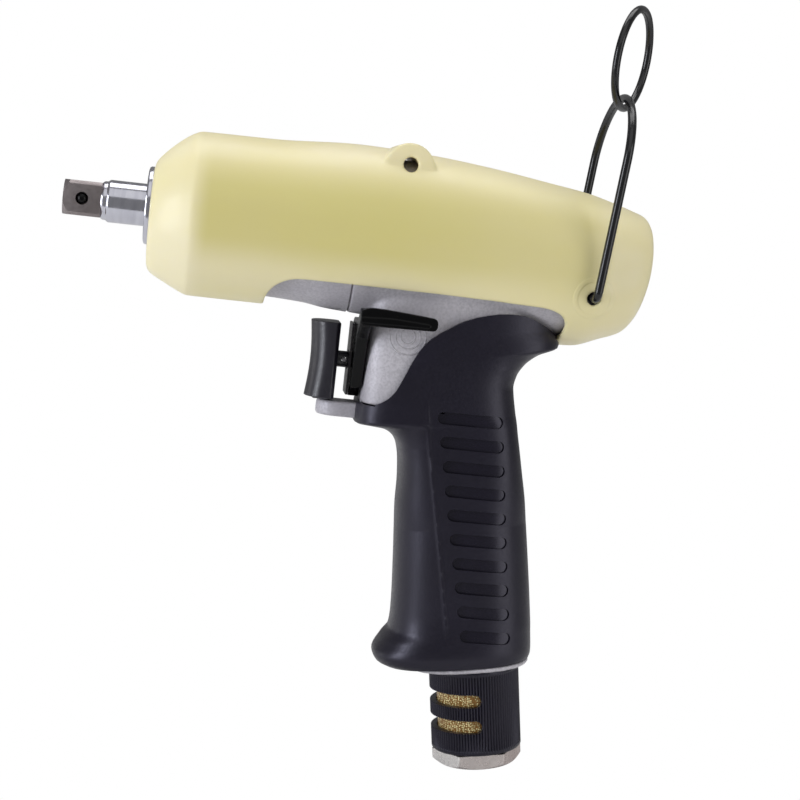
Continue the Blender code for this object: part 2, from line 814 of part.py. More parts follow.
def grip_sleeve():
    """Rubber moulded over the handle, with a finger rest behind the guard tab."""
    rings = [handle_ring(*station) for station in GRIP_STATIONS]
    grip = place(loft("grip_sleeve", rings), grip_rubber())
    boolean(grip, cutter(plate("grip_border", grip_border(), 60.0, side_view())))
    boolean(grip, cutter(handle_core("core_clearance", GAP)))
    boolean(grip, cutter(handle_root("root_clearance", GAP)))
    boolean(grip, cutter(barrel("barrel_clearance", GAP + 0.2)))
    rings = [barrel_ring(*station, grow=GAP + 0.1) for station in COVER_STATIONS[9:12]]
    cover = cutter(loft("cover_clearance", rings))
    opening = cutter(plate("cover_edge", cover_opening(), 60.0, side_view(0, (-GAP - 0.2, 0, 0))))
    boolean(cover, opening)
    boolean(grip, cover)
    boolean(grip, cutter(box("front_trim", (70.0, -20.0, -60.0), (85.3, 20.0, -40.0))))
    neck = box("neck_clearance", (80.0, -5.1, -52.3), (102.0, 5.1, -49.3))
    boolean(grip, cutter(neck))


# ---------------------------------------------------------------- trigger and valves

def trigger():
    """Finger pad, boss and rod: slides back along the rod axis."""
    hollow = 0.8
    origin = (TRIGGER_REAR, 0, ROD_Z)
    face = []
    for i in range(9):
        t = i / 8
        z = TRIGGER_TOP + (TRIGGER_BOTTOM - TRIGGER_TOP) * t
        x = TRIGGER_FRONT - TRIGGER_REAR + hollow * math.sin(math.pi * t)
        face.append((x, z - ROD_Z))
    outline = face + [(0, TRIGGER_BOTTOM - ROD_Z), (0, TRIGGER_TOP - ROD_Z)]
    pad = plate("trigger", outline, 2 * TRIGGER_HALF_WIDTH, side_view(0, origin))
    pad = place(pad, black_plastic())
    bevel = pad.modifiers.new("round", "BEVEL")
    bevel.width = 1.6 * MM
    bevel.segments = 3
    bevel.limit_method = "ANGLE"
    bevel.angle_limit = math.radians(60)
    boss = rod("trigger_boss", BOSS_RADIUS, 78.5, 84.2, (0, 0, ROD_Z), steps=20)
    boolean(pad, cutter(boss), "UNION")
    stem = rod("trigger_rod", 1.5, 83.5, 105.7, (0, 0, ROD_Z), steps=12)
    boolean(pad, cutter(stem), "UNION")
    hole = rod("trigger_pin_hole", 0.9, -5, 5, (PIN_X, 0, ROD_Z), RIGHT, 12)
    boolean(pad, cutter(hole))


def trigger_pin():
    place(rod("trigger_pin", 0.6, -2.5, 2.5, (PIN_X, 0, ROD_Z), RIGHT, 12), polished_steel())


def lever_plate():
    """Thin plate that keeps the reversing lever in place."""
    half_width = 6.4
    top = -26.2 - ROD_Z
    bottom = -46.2 - ROD_Z
    outline = [(half_width, bottom), (half_width, top), (-half_width, top), (-half_width, bottom)]
    sheet = place(plate("lever_plate", outline, 0.6, front_view(82.8, (0, 0, ROD_Z))), nickel())
    boolean(sheet, cutter(rod("lever_plate_hole", 2.9, 80, 83.3, (0, 0, ROD_Z), steps=20)))


def reverse_lever():
    """Flat lever in front of the handle with one wing along its left side, turning on the rod axis."""
    round_radius = 10.0
    thickness = 3.2
    middle_x = 83.4 + thickness / 2
    lower = arc((0, 0), round_radius, -100, 40, 10)
    top = [(9.0, 8.9), (4.0, 12.0), (-12.0, 12.3)]
    wing_root = [(-17.0, 16.0), (-21.0, 15.6), (-21.2, 11.6), (-14.4, 7.0), (-11.0, -2.0), (-9.0, -7.6)]
    lever = plate("reverse_lever", lower + top + wing_root, thickness, front_view(middle_x, (0, 0, ROD_Z)))
    lever = place(lever, black_plastic())
    wing_outline = [
        (83.4, -21.0), (86.0, -20.6), (90.0, -20.6), (98.0, -21.1), (103.4, -21.5), (104.6, -22.4),
        (104.6, -24.0), (103.6, -25.1), (90.0, -25.5), (83.4, -25.5),
    ]
    wing = plate("lever_wing", wing_outline, 3.4, side_view(-19.5))
    bevel = wing.modifiers.new("round", "BEVEL")
    bevel.width = 0.6 * MM
    bevel.segments = 1
    bevel.limit_method = "ANGLE"
    bevel.angle_limit = math.radians(60)
    boolean(lever, cutter(wing), "UNION")
    boolean(lever, cutter(rod("lever_hole", 2.9, 80, 90, (0, 0, ROD_Z), steps=20)))


def reverse_valve():
    """Rotary valve behind the lever, which turns with it."""
    valve = tube("reverse_valve", VALVE_RADIUS, 2.7, 0, 12.6, (87.2, 0, ROD_Z))
    place(valve, brass())
    boolean(valve, cutter(rod("reverse_port", 2.0, 0, 12, (97.2, 0, ROD_Z), UP, 12)))


def valve_bush():
    place(tube("valve_bush", VALVE_RADIUS, 3.0, 0, 5.4, (100.1, 0, ROD_Z)), brass())


def throttle_valve():
    profile = [(0, 3.0), (3.6, 3.0), (5.0, 1.4), (5.0, 0), (0, 0)]
    place(turned("throttle_valve", profile, (106.0, 0, ROD_Z)), bronze())


def throttle_spring():
    spring = coil("throttle_spring", 3.0, 0.35, 7.2, 5, (112.6, 0, ROD_Z), BACK)
    place(spring, hardened_steel())


# ---------------------------------------------------------------- inlet and exhaust

HANDLE_ORIGIN = (HANDLE_ROOT, 0, 0)


def on_handle(down):
    return tuple(handle_point(0, 0, down))


def handle_frame():
    """Columns: across, side, down. Right-handed with side reversed."""
    return Matrix((ACROSS_HANDLE, -RIGHT, DOWN_HANDLE)).transposed()


def inlet_bushing():
    """Threaded stem with a hexagon, whose corners are turned off at the lower end."""
    length = HEX_BOTTOM - STEM_TOP
    hex_length = HEX_BOTTOM - HEX_TOP
    base = on_handle(STEM_TOP)
    bushing = place(rod("inlet_bushing", STEM_RADIUS, 0, length - 1, base, DOWN_HANDLE), nickel())
    middle = on_handle((HEX_TOP + HEX_BOTTOM) / 2)
    matrix = Matrix.Translation(Vector(middle) * MM) @ handle_frame().to_4x4()
    hexagon_body = plate("inlet_hexagon", hexagon(HEX_ACROSS_FLATS), hex_length, matrix)
    corner = HEX_ACROSS_FLATS / math.sqrt(3)
    turning = [
        (0, length + 0.01),
        (HEX_ACROSS_FLATS / 2 - 0.6, length + 0.01),
        (corner + 0.2, length - 1.4),
        (corner + 0.2, length - hex_length - 1),
        (0, length - hex_length - 1),
    ]
    chamfer = cutter(turned("hexagon_chamfer", turning, base, DOWN_HANDLE))
    boolean(cutter(hexagon_body), chamfer, "INTERSECT")
    boolean(bushing, hexagon_body, "UNION")
    boolean(bushing, cutter(rod("inlet_bore", INLET_BORE, -5, length + 5, base, DOWN_HANDLE, 24)))


def inlet_screen():
    """Cup-shaped strainer in the inlet."""
    radius = INLET_BORE - GAP
    profile = [(radius, 10.0), (radius, 0), (0, 0)]
    inner = [(0, 0.8), (radius - 0.8, 0.8), (radius - 0.8, 10.0)]
    mesh_profile = inner + profile
    place(turned("inlet_screen", mesh_profile, on_handle(112.0), DOWN_HANDLE, 20), brass())


def exhaust_sleeve():
    """Turning sleeve that aims the exhaust, with two slots round its front."""
    length = SLEEVE_BOTTOM - SLEEVE_TOP
    inner = 11.2
    lip = 8.4
    profile = [
        (SLEEVE_RADIUS, length),
        (SLEEVE_RADIUS, 0),
        (lip, 0),
        (lip, 1.2),
        (inner, 1.2),
        (inner, length),
    ]
    sleeve = turned("exhaust_sleeve", profile, on_handle(SLEEVE_TOP), DOWN_HANDLE, 36)
    place(sleeve, black_plastic())
    frame = handle_frame()
    for number, low, high in ((1, 127.9, 131.6), (2, 135.4, 139.1)):
        slot = box(f"exhaust_slot_{number}", (-15, -15, low), (0.4, 15, high), HANDLE_ORIGIN, frame)
        boolean(sleeve, cutter(slot))


def exhaust_mesh():
    start = on_handle(MUFFLER_TOP)
    place(tube("exhaust_mesh", 10.9, 10.3, 0, MUFFLER_LENGTH, start, DOWN_HANDLE), brass())


def silencer_pad():
    start = on_handle(MUFFLER_TOP)
    pad = tube("silencer_pad", 10.0, STEM_RADIUS + GAP, 0, MUFFLER_LENGTH, start, DOWN_HANDLE)
    place(pad, felt())


def sleeve_seals():
    """O-rings between the stem and the sleeve."""
    major = 9.7
    minor = 1.1
    for name, down in (("sleeve_seal_upper", 123.7), ("sleeve_seal_lower", 143.6)):
        section = [(major + r, t) for r, t in arc((0, 0), minor, 90, -225, 8)]
        seal = turned(name, section, on_handle(down), DOWN_HANDLE, 24)
        place(seal, seal_rubber())


# ---------------------------------------------------------------- hanger

def hanger_bail():
    """Wire bail with hooked ends, leaning back from its pivots in the housing."""
    up = Vector((math.sin(BAIL_LEAN), 0, math.cos(BAIL_LEAN)))
    leg = BAIL_HEIGHT - BAIL_ARCH
    bend = 2.4
    side = [(15.6, 0), (BAIL_HALF_WIDTH - bend, 0)]
    side += arc((BAIL_HALF_WIDTH - bend, bend), bend, -60, 0, 3)
    side += [(BAIL_HALF_WIDTH, leg * i / 3) for i in (1, 2)]
    arch = []
    for i in range(19):
        angle = math.pi * i / 18
        arch.append((BAIL_HALF_WIDTH * math.cos(angle), leg + BAIL_ARCH * math.sin(angle)))
    half = [(y, d) for y, d in side]
    path = half + arch + [(-y, d) for y, d in reversed(half)]
    points = [RIGHT * y + up * d for y, d in path]
    bail = wire("hanger_bail", points, BAIL_WIRE)
    bail.location = Vector(BAIL_PIVOT) * MM
    place(bail, black_wire())


def hanger_ring():
    """Round ring through the bail, drawn about the bail's crown, on which it turns."""
    lean = Vector((math.sin(BAIL_LEAN), 0, math.cos(BAIL_LEAN)))
    crown = Vector(BAIL_PIVOT) + lean * BAIL_HEIGHT
    up = Vector((math.sin(RING_LEAN), 0, math.cos(RING_LEAN)))
    forward = Vector((-math.cos(RING_LEAN), 0, math.sin(RING_LEAN)))
    across = forward * math.sin(RING_TWIST) - RIGHT * math.cos(RING_TWIST)
    centre = up * (RING_RADIUS - BAIL_WIRE - RING_WIRE - GAP)
    points = []
    count = 32
    for i in range(count):
        angle = 2 * math.pi * i / count
        offset = across * math.cos(angle) + up * math.sin(angle)
        points.append(centre + offset * RING_RADIUS)
    ring = wire("hanger_ring", points, RING_WIRE, closed=True)
    ring.location = crown * MM
    place(ring, black_wire())


# ---------------------------------------------------------------- assembly

def build():
    main_shaft()
    detent_pin()
    detent_spring()
    nose_bushing()
    shaft_bush()
    shaft_seal()
    pulse_case()
    front_liner_plate()
    rear_liner_plate()
    relief_screw()
    pulse_blades()
    blade_springs()
    rotor()
    vanes()
    motor_cylinder()
    end_plates()
    rotor_bearings()
    front_case()
    main_housing()
    case_screws()
    protective_cover()
    grip_sleeve()
    trigger()
    trigger_pin()
    lever_plate()
    reverse_lever()
    reverse_valve()
    valve_bush()
    throttle_valve()
    throttle_spring()
    inlet_bushing()
    inlet_screen()
    exhaust_sleeve()
    exhaust_mesh()
    silencer_pad()
    sleeve_seals()
    hanger_bail()
    hanger_ring()


build()
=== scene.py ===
"""Looks of the pistol-grip oil-pulse wrench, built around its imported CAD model.

Dimensions are in millimetres in the CAD frame: origin at the square drive's front end, +X back
along the spindle, +Z up, -Y the side with the reversing wing. MM scales them to metres.
"""

import json
import math

import bmesh
import bpy
import numpy as np
from mathutils import Matrix, Vector

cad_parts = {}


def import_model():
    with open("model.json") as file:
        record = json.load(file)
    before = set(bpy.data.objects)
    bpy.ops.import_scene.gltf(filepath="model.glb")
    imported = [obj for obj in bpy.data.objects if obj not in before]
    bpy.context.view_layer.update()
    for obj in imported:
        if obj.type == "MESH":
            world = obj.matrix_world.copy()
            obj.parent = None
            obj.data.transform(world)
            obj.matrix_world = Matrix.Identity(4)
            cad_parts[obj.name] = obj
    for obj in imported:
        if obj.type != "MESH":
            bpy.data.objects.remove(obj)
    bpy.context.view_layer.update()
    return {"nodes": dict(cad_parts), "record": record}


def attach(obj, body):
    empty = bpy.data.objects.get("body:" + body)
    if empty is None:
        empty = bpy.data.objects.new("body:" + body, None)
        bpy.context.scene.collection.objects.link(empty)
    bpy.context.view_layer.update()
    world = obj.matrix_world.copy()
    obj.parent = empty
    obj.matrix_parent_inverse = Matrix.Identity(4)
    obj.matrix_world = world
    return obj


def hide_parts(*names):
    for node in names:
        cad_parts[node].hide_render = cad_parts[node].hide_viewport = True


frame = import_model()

MM = 0.001
# Clearance between a skin and the casting under it
GAP = 0.3

BACK = Vector((1, 0, 0))
RIGHT = Vector((0, 1, 0))
UP = Vector((0, 0, 1))

# Handle axis, raked back from straight down
HANDLE_ROOT = Vector((110.0, 0, 0))
HANDLE_RAKE = math.radians(8.55)
DOWN_HANDLE = Vector((math.sin(HANDLE_RAKE), 0, -math.cos(HANDLE_RAKE)))
ACROSS_HANDLE = Vector((math.cos(HANDLE_RAKE), 0, math.sin(HANDLE_RAKE)))

# Spindle
SQUARE = 9.525
SQUARE_LENGTH = 10.4
SHAFT_RADIUS = 5.85
SEAM_X = 80.5
DETENT_X = 5.2

# Valve rod and trigger
ROD_Z = -36.8
TRIGGER_FRONT = 71.2
TRIGGER_REAR = 79.4
TRIGGER_TOP = -26.4
TRIGGER_BOTTOM = -47.8
TRIGGER_HALF_WIDTH = 7.0
PIN_X = 81.4

# Exhaust and inlet
SLEEVE_TOP = 121.0
SLEEVE_BOTTOM = 145.6
SLEEVE_RADIUS = 12.9
HEX_TOP = 145.9
HEX_BOTTOM = 150.0
HEX_ACROSS_FLATS = 22.4
STEM_TOP = 109.0
STEM_RADIUS = 8.0
INLET_BORE = 5.9

# Hanger
BAIL_PIVOT = Vector((146.5, 0, -11.7))
BAIL_HALF_WIDTH = 24.0
BAIL_HEIGHT = 56.2
BAIL_ARCH = 18.2
BAIL_LEAN = math.radians(5.4)
BAIL_UP = Vector((math.sin(BAIL_LEAN), 0, math.cos(BAIL_LEAN)))
BAIL_WIRE = 1.2
BAIL_BOSS_RADIUS = 5.2
RING_RADIUS = 13.8
RING_WIRE = 1.1
RING_LEAN = math.radians(6.2)
RING_TWIST = math.radians(28.3)

LUG_HOLE = Vector((93.0, 0, 18.9))

# (x, top, bottom, half width) along the barrel
FRONT_CASE_STATIONS = (
    (26.2, 11.4, -11.4, 11.4),
    (34.0, 11.4, -11.4, 11.4),
    (35.8, 18.4, -19.2, 18.6),
    (38.0, 19.6, -21.3, 20.1),
    (56.0, 19.3, -21.5, 20.2),
    (68.0, 19.9, -22.1, 20.3),
    (74.0, 20.2, -23.0, 20.35),
    (80.35, 20.4, -23.5, 20.4),
)
HOUSING_STATIONS = (
    (80.65, 20.4, -23.5, 20.4),
    (86.0, 20.4, -23.8, 20.4),
    (100.0, 20.1, -24.0, 20.4),
    (116.0, 18.6, -24.2, 20.1),
    (135.0, 16.0, -24.3, 19.4),
    (144.5, 14.6, -23.8, 18.7),
    (152.5, 12.6, -21.1, 17.6),
    (158.0, 10.4, -18.0, 15.6),
    (160.5, 8.4, -15.0, 12.5),
)
COVER_STATIONS = (
    (24.1, 11.5, -16.7, 14.1),
    (24.8, 12.9, -17.9, 15.4),
    (25.6, 13.9, -18.6, 16.2),
    (29.3, 17.6, -20.6, 18.9),
    (33.8, 20.9, -22.8, 21.4),
    (36.2, 21.8, -23.6, 22.3),
    (56.0, 22.0, -23.7, 22.4),
    (80.0, 23.2, -23.9, 22.6),
    (100.0, 22.4, -24.6, 22.6),
    (116.0, 20.9, -25.6, 22.3),
    (135.0, 18.3, -26.6, 21.7),
    (144.5, 16.9, -26.3, 21.0),
    (152.5, 14.9, -23.6, 20.0),
    (157.8, 13.3, -21.4, 18.6),
    (161.0, 12.2, -17.5, 16.3),
    (162.9, 10.2, -12.0, 12.8),
    (163.9, 6.3, -5.4, 7.8),
    (164.2, 2.0, -1.2, 3.0),
)
COVER_WALL = 1.8
COVER_HOLLOW = (25, 162)
# (depth below the spindle, front x, rear x, half width) down the handle root
ROOT_STATIONS = (
    (6.0, 87.5, 132.0, 14.0),
    (22.0, 86.9, 130.0, 15.4),
    (34.0, 86.9, 126.5, 15.6),
    (47.5, 86.9, 126.0, 15.4),
)
ROOT_POWER = 6.0
# (distance down the handle, front, rear, half width)
CORE_STATIONS = (
    (30.0, -15.5, 10.2, 12.5),
    (57.0, -15.3, 10.6, 12.5),
    (75.0, -17.0, 12.2, 12.3),
    (105.0, -19.0, 12.6, 12.6),
    (119.6, -19.0, 12.6, 13.0),
)
GRIP_STATIONS = (
    (10.0, -26.0, 27.2, 17.4),
    (28.0, -28.6, 27.3, 17.4),
    (31.2, -29.0, 26.4, 17.4),
    (32.8, -29.4, 21.0, 17.4),
    (35.5, -29.8, 16.6, 17.3),
    (38.5, -30.2, 14.3, 17.2),
    (42.0, -30.8, 13.3, 17.1),
    (49.3, -31.8, 13.7, 16.9),
    (50.2, -28.5, 13.8, 16.9),
    (51.2, -24.6, 13.9, 16.8),
    (52.6, -22.3, 14.0, 16.8),
    (54.6, -20.7, 14.1, 16.8),
    (57.2, -19.7, 14.3, 16.7),
    (60.5, -19.4, 14.6, 16.7),
    (66.0, -19.7, 15.1, 16.6),
    (75.0, -20.9, 15.9, 16.4),
    (89.0, -21.9, 16.3, 16.4),
    (104.0, -23.2, 16.5, 16.6),
    (109.0, -24.2, 16.5, 17.0),
    (112.0, -26.8, 16.4, 17.4),
    (116.0, -29.2, 16.3, 17.8),
    (118.0, -28.4, 16.1, 17.5),
    (119.2, -26.4, 15.6, 17.0),
)
# Superellipse power of the handle's sections, by distance down the handle
HANDLE_POWER = ((26, 2.6), (36, 3.8), (58, 3.8), (80, 2.6))

# Grip grooves: slots with round ends, parallel to the spindle
GROOVES = 10
GROOVE_FIRST = (107.8, 126.2, -48.8)     # left end, right end, height
GROOVE_LAST = (120.8, 135.3, -109.0)
GROOVE_RADIUS = 1.7
# (distance across the handle, depth) of the groove floors, where the grip is this wide
GROOVE_FLOOR = ((-10.0, 1.3), (12.0, 0.45))
GROOVE_HALF_WIDTH = 16.5
# Faint rings cast in the sides of the handle root
CAST_MARK = (97.3, -27.7)
CAST_MARK_RADII = (2.0, 3.4, 5.0)
# (distance down the handle, distance across) of the mould line on each side
MOULD_LINE = ((41.6, -12.3), (54.0, -12.1), (63.0, -11.6), (84.0, -10.3), (108.0, -9.2))
MOULD_LINE_HEIGHT = 0.26
MOULD_LINE_WIDTH = 0.42


# ---------------------------------------------------------------- mesh helpers

def new_object(name, data):
    obj = bpy.data.objects.new(name, data)
    bpy.context.scene.collection.objects.link(obj)
    return obj


def discard(obj):
    bpy.data.objects.remove(obj, do_unlink=True)


def applied(obj):
    """The object with its modifiers and its matrix made part of its mesh."""
    bpy.context.view_layer.update()
    graph = bpy.context.evaluated_depsgraph_get()
    mesh = bpy.data.meshes.new_from_object(obj.evaluated_get(graph))
    mesh.transform(obj.matrix_world)
    name = obj.name
    discard(obj)
    mesh.name = name
    result = new_object(name, mesh)
    result.name = name
    return result


def boolean(obj, other, operation="DIFFERENCE"):
    """Cuts or joins a helper solid, which is used up."""
    modifier = obj.modifiers.new("boolean", "BOOLEAN")
    modifier.operation = operation
    modifier.object = other
    modifier.solver = "MANIFOLD"
    result = applied(obj)
    discard(other)
    return result


def smooth(obj, degrees=35):
    obj.data.shade_smooth()
    obj.data.set_sharp_from_angle(angle=math.radians(degrees))
    return obj


def bevelled(obj, width, segments=3, degrees=40):
    modifier = obj.modifiers.new("bevel", "BEVEL")
    modifier.width = width * MM
    modifier.segments = segments
    modifier.limit_method = "ANGLE"
    modifier.angle_limit = math.radians(degrees)
    return applied(obj)


def joined(name, pieces):
    """One object with the meshes of several, which are used up."""
    shape = bmesh.new()
    for piece in pieces:
        piece = applied(piece)
        shape.from_mesh(piece.data)
        discard(piece)
    mesh = bpy.data.meshes.new(name)
    shape.to_mesh(mesh)
    shape.free()
    return new_object(name, mesh)


def welded(obj):
    """Joins points that coincide and turns all faces outward."""
    shape = bmesh.new()
    shape.from_mesh(obj.data)
    bmesh.ops.remove_doubles(shape, verts=shape.verts, dist=0.001 * MM)
    bmesh.ops.recalc_face_normals(shape, faces=shape.faces)
    shape.to_mesh(obj.data)
    shape.free()
    return obj


def fused(name, pieces, voxel, smoothing=4):
    """Overlapping solids remeshed into one skin, with small fillets where they meet."""
    obj = joined(name, pieces)
    remesh = obj.modifiers.new("remesh", "REMESH")
    remesh.mode = "VOXEL"
    remesh.voxel_size = voxel * MM
    relax = obj.modifiers.new("relax", "SMOOTH")
    relax.factor = 0.5
    relax.iterations = smoothing
    obj = applied(obj)
    obj.data.shade_smooth()
    return obj


def aligned(origin, direction):
    turn = Vector(direction).to_track_quat("Z", "Y").to_matrix().to_4x4()
    return Matrix.Translation(Vector(origin) * MM) @ turn


def turned(name, profile, origin=(0, 0, 0), direction=BACK, steps=96):
    """Turns (radius, distance) points, from far to near. A profile off the axis is closed."""
    mesh = bpy.data.meshes.new(name)
    points = [(radius * MM, 0.0, distance * MM) for radius, distance in profile]
    edges = [(i, i + 1) for i in range(len(points) - 1)]
    if profile[0][0] > 0:
        edges.append((len(points) - 1, 0))
    mesh.from_pydata(points, edges, [])
    obj = new_object(name, mesh)
    obj.matrix_world = aligned(origin, direction)
    screw = obj.modifiers.new("turn", "SCREW")
    screw.steps = steps
    screw.render_steps = steps
    screw.use_merge_vertices = True
    screw.merge_threshold = 0.001 * MM
    return smooth(applied(obj), 30)


def rod(name, radius, near, far, origin=(0, 0, 0), direction=BACK, steps=48):
    profile = [(0, far), (radius, far), (radius, near), (0, near)]
    return turned(name, profile, origin, direction, steps)


def box(name, low, high):
    """A box between two opposite corners."""
    mesh = bpy.data.meshes.new(name)
    shape = bmesh.new()
    bmesh.ops.create_cube(shape, size=MM)
    size = [b - a for a, b in zip(low, high)]
    centre = Vector([(a + b) / 2 for a, b in zip(low, high)])
    bmesh.ops.scale(shape, vec=size, verts=shape.verts)
    bmesh.ops.translate(shape, vec=centre * MM, verts=shape.verts)
    shape.to_mesh(mesh)
    shape.free()
    return new_object(name, mesh)


def plate(name, outline, thickness, matrix):
    """A flat outline thickened both ways from the matrix's XY plane."""
    curve = bpy.data.curves.new(name, "CURVE")
    curve.dimensions = "2D"
    curve.fill_mode = "BOTH"
    curve.extrude = thickness / 2 * MM
    spline = curve.splines.new("POLY")
    spline.points.add(len(outline) - 1)
    for point, (x, y) in zip(spline.points, outline):
        point.co = (x * MM, y * MM, 0, 1)
    spline.use_cyclic_u = True
    drawn = new_object(name, curve)
    drawn.matrix_world = matrix
    return welded(applied(drawn))


def plane(origin, across, up):
    """The place of a flat outline: its X runs across and its Y runs up, from a point."""
    turn = Matrix((across, up, across.cross(up))).transposed().to_4x4()
    return Matrix.Translation(Vector(origin) * MM) @ turn


def side_view(origin=(0, 0, 0)):
    return plane(origin, BACK, UP)


def front_view(origin):
    return plane(origin, RIGHT, UP)


def on_handle(down):
    return HANDLE_ROOT + DOWN_HANDLE * down


def arc(centre, radius, start, end, count):
    angles = [math.radians(start + (end - start) * i / (count - 1)) for i in range(count)]
    return [(centre[0] + radius * math.cos(a), centre[1] + radius * math.sin(a)) for a in angles]


def rounded(outline, radius):
    """An outline with each corner replaced by a small curve through it."""
    steps = 6
    longest_share = 0.45
    result = []
    for i, corner in enumerate(outline):
        here = Vector(corner)
        before = Vector(outline[i - 1])
        after = Vector(outline[(i + 1) % len(outline)])
        reach_in = min(radius, (before - here).length * longest_share)
        reach_out = min(radius, (after - here).length * longest_share)
        start = here + (before - here).normalized() * reach_in
        end = here + (after - here).normalized() * reach_out
        for step in range(steps + 1):
            t = step / steps
            result.append(tuple(start * (1 - t) ** 2 + here * 2 * t * (1 - t) + end * t * t))
    return result


# ---------------------------------------------------------------- lofts

def read_smoothly(stations, positions):
    """Every column of the stations, read along a smooth curve that never overshoots."""
    table = np.array(stations, float)
    x = table[:, 0]
    y = table[:, 1:]
    slope = np.diff(y, axis=0) / np.diff(x)[:, None]
    before = slope[:-1]
    after = slope[1:]
    same = before * after > 0
    total = np.where(same, before + after, 1)
    tangent = np.zeros_like(y)
    tangent[0] = slope[0]
    tangent[-1] = slope[-1]
    tangent[1:-1] = np.where(same, 2 * before * after / total, 0)
    i = np.clip(np.searchsorted(x, positions) - 1, 0, len(x) - 2)
    width = np.diff(x)[i][:, None]
    t = ((positions - x[i]) / np.diff(x)[i])[:, None]
    rise = t * t * (3 - 2 * t)
    return (
        y[i] * (1 - rise)
        + y[i + 1] * rise
        + tangent[i] * width * t * (1 - t) ** 2
        - tangent[i + 1] * width * t * t * (1 - t)
    )


def positions_along(stations, spacing):
    start = stations[0][0]
    end = stations[-1][0]
    count = max(2, round((end - start) / spacing) + 1)
    return np.linspace(start, end, count)


def ovals(half_x, half_y, power, count):
    """Superellipse rings, one row for each pair of half sizes. The power may differ by row."""
    samples = 4001
    angle = np.linspace(0, 2 * np.pi, samples)
    c = np.cos(angle)
    s = np.sin(angle)
    xs = []
    ys = []
    for a, b, n in zip(half_x, half_y, np.broadcast_to(power, half_x.shape)):
        x = a * np.sign(c) * np.abs(c) ** (2 / n)
        y = b * np.sign(s) * np.abs(s) ** (2 / n)
        length = np.concatenate(([0], np.cumsum(np.hypot(np.diff(x), np.diff(y)))))
        even = np.linspace(0, length[-1], count, endpoint=False)
        xs.append(np.interp(even, length, x))
        ys.append(np.interp(even, length, y))
    return np.array(xs), np.array(ys)


def skin(name, rows, cap=True):
    """A closed tube of quads through rows of points, an array of rows x points x 3, in mm."""
    rings, count, _ = rows.shape
    index = np.arange(rings * count).reshape(rings, count)
    following = np.roll(index, -1, axis=1)
    quads = np.stack((index[:-1], following[:-1], following[1:], index[1:]), axis=-1)
    faces = quads.reshape(-1, 4).tolist()
    if cap:
        faces.append(index[0][::-1].tolist())
        faces.append(index[-1].tolist())
    mesh = bpy.data.meshes.new(name)
    mesh.from_pydata((rows.reshape(-1, 3) * MM).tolist(), [], faces)
    shape = bmesh.new()
    shape.from_mesh(mesh)
    bmesh.ops.recalc_face_normals(shape, faces=shape.faces)
    shape.to_mesh(mesh)
    shape.free()
    mesh.shade_smooth()
    return new_object(name, mesh)


def barrel_rows(stations, spacing=1.0, grow=0.0, count=96):
    x = positions_along(stations, spacing)
    top, bottom, half_width = read_smoothly(stations, x).T
    y, z = ovals(half_width + grow, (top - bottom) / 2 + grow, 2, count)
    z = z + ((top + bottom) / 2)[:, None]
    return np.stack((np.broadcast_to(x[:, None], y.shape), y, z), axis=-1)


def barrel(name, stations, spacing=1.0, grow=0.0, count=96):
    return skin(name, barrel_rows(stations, spacing, grow, count))


def handle_rows(stations, spacing, grow=0.0, count=96):
    """Sections down the handle, squarest around the front web."""
    down = positions_along(stations, spacing)
    front, rear, half_width = read_smoothly(stations, down).T
    power = np.interp(down, *zip(*HANDLE_POWER))
    across, side = ovals((rear - front) / 2 + grow, half_width + grow, power, count)
    across = across + ((front + rear) / 2)[:, None]
    return across, side, np.broadcast_to(down[:, None], across.shape)


def from_handle(across, side, down):
    root = np.array(HANDLE_ROOT)
    return (
        root
        + across[..., None] * np.array(ACROSS_HANDLE)
        + side[..., None] * np.array(RIGHT)
        + down[..., None] * np.array(DOWN_HANDLE)
    )


def handle_core(name, grow=0.0):
    return skin(name, from_handle(*handle_rows(CORE_STATIONS, 1.5, grow)))


def handle_root(name, grow=0.0):
    depth = positions_along(ROOT_STATIONS, 1.0)
    front, rear, half_width = read_smoothly(ROOT_STATIONS, depth).T
    x, y = ovals((rear - front) / 2 + grow, half_width + grow, ROOT_POWER, 128)
    x = x + ((front + rear) / 2)[:, None]
    z = -np.broadcast_to(depth[:, None], x.shape)
    z[-1] -= grow
    return skin(name, np.stack((x, y, z), axis=-1))


# ---------------------------------------------------------------- materials

# The part of a noise's range that is spread over a whole ramp
NOISE_SPAN = (0.3, 0.7)


